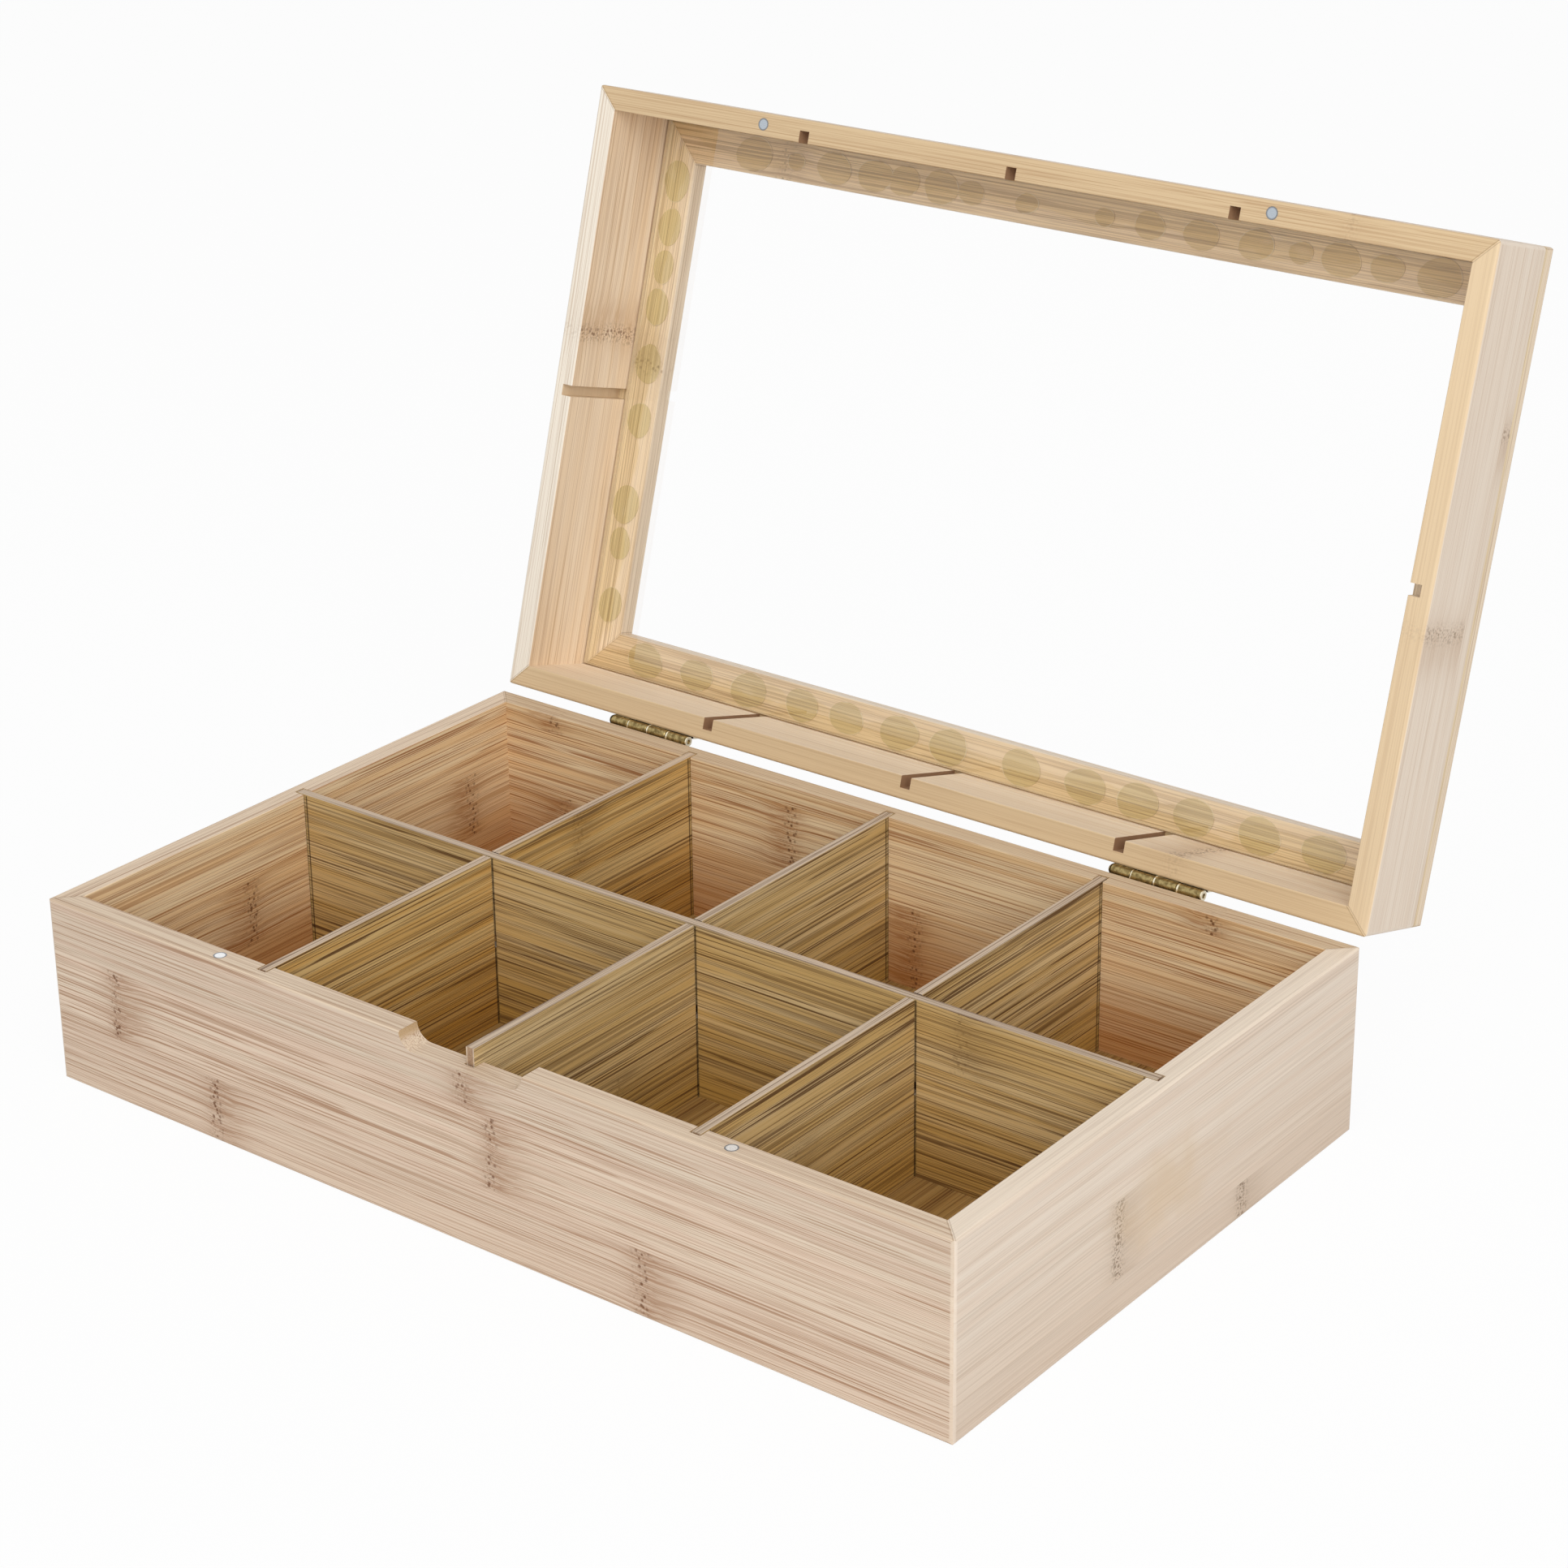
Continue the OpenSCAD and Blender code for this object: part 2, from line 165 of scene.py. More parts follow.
# %% [markdown]
# ## Threads
#
# Bamboo's dark threads are bundles of fibre, 0.2 to 0.4 mm thick, that show for a few
# centimetres where the plane cut through them. Noise that is squeezed across the grain and
# stretched along it gives such threads once only its peaks are kept.


# %% Threads as a node group
def thread_group():
    inputs = {"Point": "Vector", "Size": "Vector", "Low": "Float", "High": "Float"}
    group, given = new_group("threads", inputs, {"Threads": "Float"})
    place = add(group, "VectorMath", {0: given["Point"], 1: given["Size"]}, operation="DIVIDE")
    peaks = add(group, "TexNoise", {"Vector": place, "Scale": 1.0, "Detail": 1.0})
    kept = add(group, "MapRange", {"Value": peaks, "From Min": given["Low"], "From Max": given["High"]},
               interpolation_type="SMOOTHSTEP")
    add(group, "NodeGroupOutput", {"Threads": kept})
    return group


THREADS = thread_group()


def threads(tree, point, size, low, high):
    """A layer of threads. size is a thread's length and its spacing, low and high its soft edge."""
    return add(tree, "Group", {"Point": point, "Size": (size[0], size[1], size[1]), "Low": low,
                               "High": high}, node_tree=THREADS)


print("nodes in the thread group:", len(THREADS.nodes))

# %% [markdown]
# ## Faces
#
# A board shows other wood on its rim, on its rounded ends and where a saw cut it. The way a
# face looks in the board's own axes tells which one it is. The bottom of a groove looks
# inwards as the inner face does, but it lies deeper.

# %% Faces as a node group
RIM = {"From Min": 0.3, "From Max": 0.75}        # how far a face turns to the rim
ROUNDING = {"From Min": 0.2, "From Max": 0.37}
RAGGED = 0.25                                    # how ragged the rounding's edge is
INSIDE = {"From Min": -0.3, "From Max": -0.8}
END = {"From Min": 0.80, "From Max": 0.95}
CUT_DEPTH = 1.0      # an inner face this far above the board's back is a groove's, in mm


def face_group():
    group, given = new_group("faces", {"Point": "Vector", "Normal": "Vector", "Thickness": "Float"},
                             {"Rim": "Float", "Rounding": "Float", "Inside": "Float", "Cut": "Float"})
    across = add(group, "VectorMath", {0: given["Normal"]}, operation="ABSOLUTE")
    along_u, along_v, along_w = add(group, "SeparateXYZ", {0: across}).outputs
    rim = add(group, "MapRange", {"Value": along_v, **RIM})
    ragged = add(group, "TexNoise", {"Vector": given["Point"], "Scale": 1.1, "Detail": 1.0})
    corner = add(group, "Math", {0: along_u, 1: along_w}, operation="MULTIPLY")
    corner = add(group, "Math", {0: ragged, 1: RAGGED, 2: corner}, operation="MULTIPLY_ADD")
    rounding = add(group, "MapRange", {"Value": corner, **ROUNDING})
    facing = add(group, "SeparateXYZ", {0: given["Normal"]}).outputs[2]
    inside = add(group, "MapRange", {"Value": facing, **INSIDE})
    end = add(group, "MapRange", {"Value": along_u, **END})
    height = add(group, "SeparateXYZ", {0: given["Point"]}).outputs[2]
    height = add(group, "Math", {0: height, 1: given["Thickness"]}, operation="ADD")
    deep = add(group, "MapRange", {"Value": height, "From Min": 0.5 * CUT_DEPTH, "From Max": CUT_DEPTH})
    groove = add(group, "Math", {0: deep, 1: inside}, operation="MULTIPLY")
    cut = add(group, "Math", {0: end, 1: groove}, operation="MAXIMUM")
    add(group, "NodeGroupOutput", {"Rim": rim, "Rounding": rounding, "Inside": inside, "Cut": cut})
    return group


FACES = face_group()
print("nodes in the face group:", len(FACES.nodes))

# %% [markdown]
# ## Knots
#
# Where the stalk had a joint, its threads stop and start again. A plane leaves a column of
# dark dots there, a brownish haze, and short dashes that lean to one side. A strip has at
# most two of them, at places that its material gives.

# %% Knots as a node group
KNOT_REACH = 9.0     # how far along the grain a knot's dashes reach, in mm
KNOT_LEAN = 3.5      # how far they lean to one side
KNOT_CORE = 2.7      # half the width of the column of dots
KNOT_WANDER = 3.5    # how far the column wanders
FAR = 1000.0         # farther than any board reaches


def knot_group():
    group, given = new_group("knots", {"Point": "Vector", "Places": "Color", "Length": "Float"},
                             {"Near": "Float", "Core": "Float", "Wave": "Float"})
    wave = add(group, "TexNoise", {"Vector": given["Point"], "Scale": 0.09, "Detail": 2.0})
    along = add(group, "SeparateXYZ", {0: given["Point"]}).outputs[0]
    along = add(group, "Math", {0: wave, 1: KNOT_WANDER, 2: along}, operation="MULTIPLY_ADD")
    places = add(group, "SeparateColor", {0: given["Places"]}).outputs
    bells = []
    for lean, width in ((KNOT_LEAN, KNOT_REACH), (0.0, KNOT_CORE)):
        nearest = FAR
        for place in places[1:3]:
            share = add(group, "Math", {0: place, 1: 0.5}, operation="SUBTRACT")
            middle = add(group, "Math", {0: share, 1: given["Length"], 2: lean + KNOT_WANDER / 2},
                         operation="MULTIPLY_ADD")
            away = add(group, "Math", {0: along, 1: middle}, operation="SUBTRACT")
            away = add(group, "Math", {0: away}, operation="ABSOLUTE")
            nearest = add(group, "Math", {0: away, 1: nearest}, operation="MINIMUM")
        ratio = add(group, "Math", {0: nearest, 1: width}, operation="DIVIDE")
        square = add(group, "Math", {0: ratio, 1: ratio}, operation="MULTIPLY")
        minus = add(group, "Math", {0: square, 1: -1.0}, operation="MULTIPLY")
        bells.append(add(group, "Math", {0: minus}, operation="EXPONENT"))
    add(group, "NodeGroupOutput", {"Near": bells[0], "Core": bells[1], "Wave": wave})
    return group


KNOTS = knot_group()
print("nodes in the knot group:", len(KNOTS.nodes))

# %% [markdown]
# ## The grain
#
# The grain group lays it all together: pale wood that drifts a little in tone, fine threads
# everywhere, bold ones that break off and start again, closer together in some patches than
# in others, and the knots. Its inputs say what a board is and how it is painted. Sockets that
# share a name go by number: on a Mix node of colours, 0 is the share, 6 and 7 the colours.

# %% The grain's inputs
GRAIN_INPUTS = {"Point": "Vector", "Normal": "Vector", "Strip": "Color", "Seam": "Float", "Mitre": "Vector"}
GRAIN_INPUTS.update((name, "Float") for name in (
    "Seed", "Length", "Thickness", "Core", "Mitre All Round", "Threads", "Thread Size", "Knots", "Torn",
    "Slots"))
GRAIN_INPUTS.update((name, "Color") for name in (
    "Outer Pale", "Outer Warm", "Outer Thread", "Outer Low", "Inner Pale", "Inner Warm", "Inner Thread",
    "Inner Low", "Edge", "Cut", "Slot", "Ply", "Dot"))
print("inputs of the grain group:", len(GRAIN_INPUTS))

# %% [markdown]
# ### Threads on a board
#
# Each layer is the thread group at a size of its own: millimetres along and across the grain,
# then the two levels of noise between which a thread's soft edge lies. A share says how much
# of its dark colour a thread takes. Near a knot the threads bend.

# %% Layers of threads
FINE_THREAD = (70.0, 0.45), 0.48, 0.61     # coarser than the real ones, which wouldn't show
BOLD_THREAD = (150.0, 0.78), 0.535, 0.60
THREAD_BREAK = (40.0, 0.90), 0.38, 0.48
KNOT_DASH = (9.0, 0.60), 0.51, 0.60
PATCH = (120.0, 6.0), 0.34, 0.62
DRIFT = (170.0, 3.2), 0.30, 0.70
FINE_SHARE = 0.48
BOLD_SHARE = 0.60
PATCH_SHARE = 0.30       # a bold thread takes so much more in a patch
DASH_SHARE = 0.75
STRIP_SHIFT = 613.0      # sets a strip's noise apart from its neighbours'
KNOT_BEND = 1.4


def board_threads(group, given, tone, near, wave):
    """Fine and bold threads and a knot's dashes, and the point they are drawn at."""
    seed = add(group, "Math", {0: tone, 1: STRIP_SHIFT, 2: given["Seed"]}, operation="MULTIPLY_ADD")
    bend = add(group, "Math", {0: wave, 1: near}, operation="MULTIPLY")
    bend = add(group, "Math", {0: bend, 1: KNOT_BEND}, operation="MULTIPLY")
    shift = add(group, "CombineXYZ", {0: seed, 1: bend, 2: seed})
    point = add(group, "VectorMath", {0: given["Point"], 1: shift}, operation="ADD")
    squeeze = add(group, "CombineXYZ", {0: 1.0, 1: given["Thread Size"], 2: given["Thread Size"]})
    drawn = add(group, "VectorMath", {0: point, 1: squeeze}, operation="DIVIDE")
    fine = threads(group, drawn, *FINE_THREAD)
    fine = add(group, "Math", {0: fine, 1: FINE_SHARE}, operation="MULTIPLY")
    share = add(group, "Math", {0: threads(group, point, *PATCH), 1: PATCH_SHARE, 2: BOLD_SHARE},
                operation="MULTIPLY_ADD")
    bold = add(group, "Math", {0: threads(group, drawn, *BOLD_THREAD), 1: share}, operation="MULTIPLY")
    bold = add(group, "Math", {0: bold, 1: threads(group, drawn, *THREAD_BREAK)}, operation="MULTIPLY")
    dashes = threads(group, drawn, *KNOT_DASH)
    dashes = add(group, "Math", {0: dashes, 1: DASH_SHARE}, operation="MULTIPLY")
    dashes = add(group, "Math", {0: dashes, 1: near}, operation="MULTIPLY")
    darkest = add(group, "Math", {0: fine, 1: bold}, operation="MAXIMUM")
    return add(group, "Math", {0: darkest, 1: dashes}, operation="MAXIMUM"), point


print("fine and bold threads are", FINE_THREAD[0][1], "and", BOLD_THREAD[0][1], "mm apart")

# %% [markdown]
# ### Pale wood
#
# Under the threads the wood is a little warmer in slow streaks, and it is painted darker and
# warmer towards the bottom of a board, most of all in the compartments, as painted shade. No
# two strips are equally light. The rim has a colour of its own, and the rounded ends are
# painted as pale as the outside, as a painted highlight.

# %% Pale wood
# Painted shade: the Low colours take over towards the bottom of a board, by height in mm.
LOW_SHADE = {"From Min": 42.0, "From Max": 0.0, "To Max": 0.75}     # by height, in mm
RIM_SHARE = 0.85
# Painted highlight: the rounded corners are laid over with the outside's pale colour.
ROUNDING_HIGHLIGHT_SHARE = 0.35
STRIP_LIGHT = 0.935      # how light the darkest strip is
STRIP_SPREAD = 0.13      # and how much lighter the palest


def pale_wood(group, given, face, tone, point, height):
    drift = threads(group, point, *DRIFT)
    # Painted shade: darker and warmer towards the bottom.
    low = add(group, "MapRange", {"Value": height, **LOW_SHADE}, interpolation_type="SMOOTHSTEP")
    faces = []
    for side in ("Outer", "Inner"):
        pale, warm, low_shade_colour = (given[f"{side} {part}"] for part in ("Pale", "Warm", "Low"))
        wood = add(group, "Mix", {0: drift, 6: pale, 7: warm}, data_type="RGBA")
        faces.append(add(group, "Mix", {0: low, 6: wood, 7: low_shade_colour}, data_type="RGBA"))
    wood = add(group, "Mix", {0: face["Inside"], 6: faces[0], 7: faces[1]}, data_type="RGBA")
    wood = lay_over(group, wood, given["Edge"], face["Rim"], RIM_SHARE)
    wood = lay_over(group, wood, given["Outer Pale"], face["Rounding"], ROUNDING_HIGHLIGHT_SHARE)
    light = add(group, "Math", {0: tone, 1: STRIP_SPREAD, 2: STRIP_LIGHT}, operation="MULTIPLY_ADD")
    return add(group, "VectorMath", {0: wood, "Scale": light}, operation="SCALE")


print("a strip's light is from", STRIP_LIGHT, "to", round(STRIP_LIGHT + STRIP_SPREAD, 3))

# %% Threads over the wood: quieter on the rim, and hardly there on the rounded ends
RIM_QUIET = 0.2
ROUNDING_QUIET = 0.85


def thread_strength(group, given, face, thread):
    strength = add(group, "Math", {0: thread, 1: given["Threads"]}, operation="MULTIPLY")
    for part, share in (("Rim", RIM_QUIET), ("Rounding", ROUNDING_QUIET)):
        quiet = add(group, "Math", {0: face[part], 1: -share, 2: 1.0}, operation="MULTIPLY_ADD")
        strength = add(group, "Math", {0: strength, 1: quiet}, operation="MULTIPLY")
    return strength


print("threads fade by", RIM_QUIET, "on a rim and", ROUNDING_QUIET, "on a rounded end")

# %% [markdown]
# ### Knots, cuts and joints
#
# A knot is a brownish haze and a column of dots, which are small pits. Where the plane tore
# it, crumbs are missing between them. A saw cut is plain, but a ply's cut end shows its darker
# middle layer, and the sides of a divider's slots and a rail's grooves are painted dark, as
# painted shade. Strips meet at a faint glue line, and boards at the hairline of a mitre, which
# shows on the rim of a board on edge and all round on a flat one.

# %% Knots over the wood
DOT_SPACING = 1.8
DOT_EDGE = {"From Min": 0.38, "From Max": 0.22}       # in shares of the spacing
CRUMB_SCALE = 1.3
CRUMB_EDGE = {"From Min": 0.50, "From Max": 0.64}
HAZE_SHARE = 0.27
DOT_SHARE = 0.9


def knot_marks(group, given, near, core, dark, wood):
    """The wood with its knots, and the pits in it."""
    cells = add(group, "TexVoronoi", {"Vector": given["Point"], "Scale": 1.0 / DOT_SPACING})
    dots = add(group, "MapRange", {"Value": cells, **DOT_EDGE})
    dots = add(group, "Math", {0: dots, 1: core}, operation="MULTIPLY")
    crumbs = add(group, "TexNoise", {"Vector": given["Point"], "Scale": CRUMB_SCALE, "Detail": 1.0})
    crumbs = add(group, "MapRange", {"Value": crumbs, **CRUMB_EDGE})
    crumbs = add(group, "Math", {0: crumbs, 1: core}, operation="MULTIPLY")
    crumbs = add(group, "Math", {0: crumbs, 1: given["Torn"]}, operation="MULTIPLY")
    pits = add(group, "Math", {0: dots, 1: crumbs}, operation="MAXIMUM")
    wood = lay_over(group, wood, dark, near, HAZE_SHARE)
    return lay_over(group, wood, given["Dot"], pits, DOT_SHARE), pits


print("a knot's dots are", DOT_SPACING, "mm apart, in a column", 2 * KNOT_CORE, "mm wide")

# %% Saw cuts and slots over the wood
CUT_SHARE = 0.8
END_ZONE = 3.0           # a cut face nearer a divider's end than this is its end, in mm


def saw_cuts(group, given, face, along, out, wood):
    middle = add(group, "Math", {0: given["Thickness"], 1: 0.5, 2: out}, operation="MULTIPLY_ADD")
    middle = add(group, "Math", {0: middle}, operation="ABSOLUTE")
    ply = add(group, "Math", {0: middle, 1: given["Core"]}, operation="LESS_THAN")
    cut_wood = add(group, "Mix", {0: ply, 6: given["Cut"], 7: given["Ply"]}, data_type="RGBA")
    wood = lay_over(group, wood, cut_wood, face["Cut"], CUT_SHARE)
    # Painted shade: cut faces away from a board's ends, the sides of slots and grooves, are darkened by
    # Slots.
    inset = add(group, "Math", {0: given["Length"], 1: 0.5, 2: -END_ZONE}, operation="MULTIPLY_ADD")
    slot = add(group, "Math", {0: along, 1: inset}, operation="LESS_THAN")
    slot = add(group, "Math", {0: slot, 1: face["Cut"]}, operation="MULTIPLY")
    return lay_over(group, wood, given["Slot"], slot, given["Slots"])


# %% Glue lines and mitres over the wood
MITRE_LINE = 0.3         # half the width of a mitre's line, in mm
MITRE_SHARE = 0.5
SEAM_SHARE = 0.2


def joint_marks(group, given, face, along, dark, wood):
    wood = lay_over(group, wood, dark, given["Seam"], SEAM_SHARE)
    depth = add(group, "VectorMath", {0: given["Point"], 1: given["Mitre"]}, operation="DOT_PRODUCT")
    depth = depth.outputs["Value"]
    place = add(group, "Math", {0: given["Length"], 1: 0.5, 2: depth}, operation="MULTIPLY_ADD")
    gap = add(group, "Math", {0: place, 1: along}, operation="SUBTRACT")
    gap = add(group, "Math", {0: gap}, operation="ABSOLUTE")
    line = add(group, "MapRange", {"Value": gap, "From Min": MITRE_LINE, "From Max": 0.0})
    where = add(group, "Math", {0: face["Rim"], 1: given["Mitre All Round"]}, operation="MAXIMUM")
    line = add(group, "Math", {0: line, 1: where}, operation="MULTIPLY")
    return lay_over(group, wood, colour("#8A6A48"), line, MITRE_SHARE)


# %% The grain as a node group
KNOT_FADE = 0.8          # how much weaker a knot is on a rim


def grain_group():
    group, given = new_group("bamboo_grain", GRAIN_INPUTS, {"Colour": "Color", "Relief": "Float"})
    tone = add(group, "SeparateColor", {0: given["Strip"]}).outputs[0]
    knots = add(group, "Group", {"Point": given["Point"], "Places": given["Strip"],
                                 "Length": given["Length"]}, node_tree=KNOTS).outputs
    face = add(group, "Group", {"Point": given["Point"], "Normal": given["Normal"],
                                "Thickness": given["Thickness"]}, node_tree=FACES).outputs
    shown = add(group, "Math", {0: face["Rim"], 1: -KNOT_FADE, 2: 1.0}, operation="MULTIPLY_ADD")
    shown = add(group, "Math", {0: shown, 1: given["Knots"]}, operation="MULTIPLY")
    near = add(group, "Math", {0: knots["Near"], 1: shown}, operation="MULTIPLY")
    core = add(group, "Math", {0: knots["Core"], 1: shown}, operation="MULTIPLY")
    thread, point = board_threads(group, given, tone, near, knots["Wave"])
    strength = thread_strength(group, given, face, thread)
    dark = add(group, "Mix", {0: face["Inside"], 6: given["Outer Thread"], 7: given["Inner Thread"]},
               data_type="RGBA")
    along, height, out = add(group, "SeparateXYZ", {0: given["Point"]}).outputs
    along = add(group, "Math", {0: along}, operation="ABSOLUTE")
    wood = pale_wood(group, given, face, tone, point, height)
    wood = add(group, "Mix", {0: strength, 6: wood, 7: dark}, data_type="RGBA")
    wood, pits = knot_marks(group, given, near, core, dark, wood)
    wood = saw_cuts(group, given, face, along, out, wood)
    wood = joint_marks(group, given, face, along, dark, wood)
    relief = add(group, "Math", {0: strength, 1: pits}, operation="MAXIMUM")
    add(group, "NodeGroupOutput", {"Colour": wood, "Relief": relief})
    return group


GRAIN = grain_group()
print("nodes in the grain group:", len(GRAIN.nodes))

# %% [markdown]
# ## A board's material
#
# Natural bamboo that was planed, sanded and given a thin matt lacquer: pale, a little pink
# outside where the light has bleached it, and more golden inside. A ColorRamp without
# blending holds the board's strips. Its red is a strip's tone, its green and blue are the
# places of two knots along the board, and its alpha marks the glue lines between strips.

# %% Board materials
SEAM = 0.3                # how wide a glue line shows, in mm
NOWHERE = 5.0             # a knot's place far outside the board
THREAD_ROUGHNESS = 0.12   # how much rougher a thread is than the wood
THREAD_DEPTH = 0.0001     # in metres
# The colour of the painted shade on the sides of slots and grooves.
SLOT_SHADE = "#34200F"


def strip_ramp(tree, value, height, strips):
    """strips is a list of (lower edge in mm, tone, *knots), with up to two knots from 0 to 1."""
    strips = [(*strip, NOWHERE, NOWHERE)[:4] for strip in strips]
    made = add(tree, "ValToRGB", {0: value})
    ramp = made.color_ramp
    ramp.interpolation = "CONSTANT"
    ramp.elements.remove(ramp.elements[1])
    ramp.elements[0].position = 0.0
    ramp.elements[0].color = (*strips[0][1:4], 0.0)
    for lower, *values in strips[1:]:
        for place, seam in ((lower, 1.0), (lower + SEAM, 0.0)):
            stop = ramp.elements.new(place / height)
            stop.color = (*values, seam)
    return made


def lacquer(tree, wood, relief, rough):
    """A thin matt lacquer: the threads are a touch rougher and lie a hair deeper."""
    rough = add(tree, "Math", {0: relief, 1: THREAD_ROUGHNESS, 2: rough}, operation="MULTIPLY_ADD")
    bump = add(tree, "Bump", {"Strength": 0.35, "Distance": THREAD_DEPTH, "Height": relief}, invert=True)
    shader = add(tree, "BsdfPrincipled", {
        "Base Color": wood,
        "Roughness": rough,
        "Normal": bump,
        "IOR": 1.5,
        "Specular IOR Level": 0.35,
    })
    add(tree, "OutputMaterial", {"Surface": shader})


def bamboo(name, place, strips, paint, rough=0.5, tint=None, **settings):
    """A board's material. tint may change the finished wood, and settings are for the grain group."""
    material, tree = new_material(name)
    point, normal = board_coordinates(tree, place)
    across = add(tree, "SeparateXYZ", {0: point}).outputs[1]
    height = place["size"].y
    share = add(tree, "Math", {0: across, 1: height}, operation="DIVIDE")
    strip = strip_ramp(tree, share, height, strips)
    values = {"Length": place["size"].x, "Thickness": place["size"].z, "Mitre": (0, 0, 1),
              "Threads": 1.0, "Thread Size": 1.0, "Knots": 1.0, "Torn": 0.35, "Slot": colour(SLOT_SHADE)}
    values.update((socket, colour(code)) for socket, code in paint.items())
    values.update((socket.replace("_", " "), value) for socket, value in settings.items())
    values.update({"Point": point, "Normal": normal, "Strip": strip.outputs[0], "Seam": strip.outputs[1]})
    grain = add(tree, "Group", values, node_tree=GRAIN)
    wood = tint(tree, grain.outputs["Colour"], point) if tint else grain.outputs["Colour"]
    lacquer(tree, wood, grain.outputs["Relief"], rough)
    return material


# %% [markdown]
# ## Walls
#
# A wall is one board of three strips. The strips' edges, tones and knots follow the real
# box where it can be seen. The outside is bleached and pinkish, the inside golden brown. The
# right wall is the palest, its knots are torn, and between them lies a faint tan patch.

# %% Paint of the walls
WALL_PAINT = {
    "Outer Pale": "#E0CEB8", "Outer Warm": "#DEC6B0", "Outer Thread": "#A27A5A", "Outer Low": "#DEC8B2",
    "Inner Pale": "#F4DCB4", "Inner Warm": "#EECA98", "Inner Thread": "#A0622A", "Inner Low": "#C07C34",
    "Edge": "#E9D3B8", "Cut": "#C4A478", "Ply": "#C4A478", "Dot": "#6E4526",
}
BLEACHED_PAINT = {
    **WALL_PAINT, "Outer Pale": "#E4D5C4", "Outer Warm": "#E0CDBA", "Outer Thread": "#B49C84",
    "Outer Low": "#DCC8B4", "Edge": "#EEDECA", "Dot": "#86705A",
}
BACK_PAINT = {**WALL_PAINT, "Edge": "#DCC4A2"}
TAN_MIDDLE = (-4.0, 30.0, 0.0)      # in the board's millimetres
TAN_SIZE = (34.0, 18.0, 1000.0)     # half the patch's length and height
TAN_CLOUD = 1.6                     # how uneven its outline is
TAN_EDGE = {"From Min": 1.9, "From Max": 0.8, "To Max": 0.45}


def tan_patch(tree, wood, point):
    """The faint tan patch between the right wall's two torn knots."""
    place = add(tree, "VectorMath", {0: point, 1: TAN_MIDDLE}, operation="SUBTRACT")
    place = add(tree, "VectorMath", {0: place, 1: TAN_SIZE}, operation="DIVIDE")
    away = add(tree, "VectorMath", {0: place}, operation="LENGTH").outputs["Value"]
    cloud = add(tree, "TexNoise", {"Vector": point, "Scale": 0.08, "Detail": 3.0})
    away = add(tree, "Math", {0: cloud, 1: TAN_CLOUD, 2: away}, operation="MULTIPLY_ADD")
    amount = add(tree, "MapRange", {"Value": away, **TAN_EDGE}, interpolation_type="SMOOTHSTEP")
    return add(tree, "Mix", {0: amount, 6: wood, 7: colour("#D6B890")}, data_type="RGBA")


# %% Walls
base_boards = {
    "front_wall": (0, 11, WALL_PAINT, [
        (0, 0.45, 0.200, 0.692), (21.7, 0.75, 0.080, 0.530), (45.0, 0.25, 0.500)]),
    "right_wall": (90, 23, BLEACHED_PAINT, [
        (0, 0.35, 0.692), (12.0, 0.7, 0.374), (37.0, 0.95)]),
    "back_wall": (180, 37, BACK_PAINT, [
        (0, 0.5, 0.463, 0.9), (32.0, 0.8, 0.612), (55.0, 0.3, 0.913, 0.136)]),
    "left_wall": (270, 41, WALL_PAINT, [
        (0, 0.4, 0.3), (18.0, 0.7, 0.634, 0.129), (41.0, 0.9)]),
}
RIGHT_WALL = {"Threads": 0.4, "Torn": 1.0, "tint": tan_patch}
for name, (turn, seed, paint, strips) in base_boards.items():
    settings = RIGHT_WALL if name == "right_wall" else {"Threads": 0.95}
    wear(name, bamboo("bamboo_" + name, board(name, turn), strips, paint, Seed=seed, Thread_Size=0.66,
                      **settings))
    print(name, "has", len(strips), "strips")

# %% [markdown]
# ## Lid
#
# The lid's rails are narrow boards on edge, from paler bamboo. Their rims face the light and
# look like cream. The window frame's pieces lie flat on them, and they are mitred too.

# %% Lid rails
RAIL_PAINT = {
    "Outer Pale": "#EADCCB", "Outer Warm": "#E6D5C2", "Outer Thread": "#B08860", "Outer Low": "#E8D8C6",
    "Inner Pale": "#F2E0C8", "Inner Warm": "#EBD2B2", "Inner Thread": "#B48A5E", "Inner Low": "#EBD2B2",
    "Edge": "#DEC092", "Cut": "#E6CFAC", "Slot": "#8E6240", "Ply": "#E6CFAC", "Dot": "#8A6A50",
}
# Painted light: the left rail's rim is painted nearly white as a painted highlight, and the back rail's
# inside is painted lighter than the others'.
RIGHT_RAIL_PAINT = {**RAIL_PAINT, "Edge": "#E6CBA2", "Dot": "#A08A74"}
BACK_RAIL_PAINT = {**RAIL_PAINT, "Inner Pale": "#FCEEDA", "Inner Warm": "#F6E2C6"}
LEFT_RAIL_PAINT = {**RAIL_PAINT, "Edge": "#FFF6E6"}
# The grooves' sides are darkened as painted shade.
LONG_RAIL_SLOTS = 0.85      # how dark the grooves of the front and back rails are
SHORT_RAIL_SLOTS = 0.1
lid_boards = {
    "front": (0, 5, RAIL_PAINT, 0.8, LONG_RAIL_SLOTS, [(0, 0.4, NOWHERE, 0.86)]),
    "right": (90, 59, RIGHT_RAIL_PAINT, 0.3, SHORT_RAIL_SLOTS, [
        (0, 0.7, 0.56), (26.0, 0.6, 0.27)]),
    "back": (180, 71, BACK_RAIL_PAINT, 0.4, LONG_RAIL_SLOTS, [(0, 0.5, 0.2)]),
    "left": (270, 83, LEFT_RAIL_PAINT, 0.6, SHORT_RAIL_SLOTS, [(0, 0.6, 0.60)]),
}
for side, (turn, seed, paint, dark, slots, strips) in lid_boards.items():
    rail = f"lid_{side}_rail"
    wear(rail, bamboo("bamboo_" + rail, board(rail, turn, lid=True), strips, paint, Seed=seed, Threads=dark,
                      Torn=0.8, Thread_Size=0.8, Slots=slots))
    print(rail, "has", len(strips), "strips")

# %% [markdown]
# ## Window frame
#
# The frame's flat pieces are painted one by one, because each meets the light at its own
# angle. Glue that ran out beside the panel has left the ledge a little more olive, with a
# wandering edge.

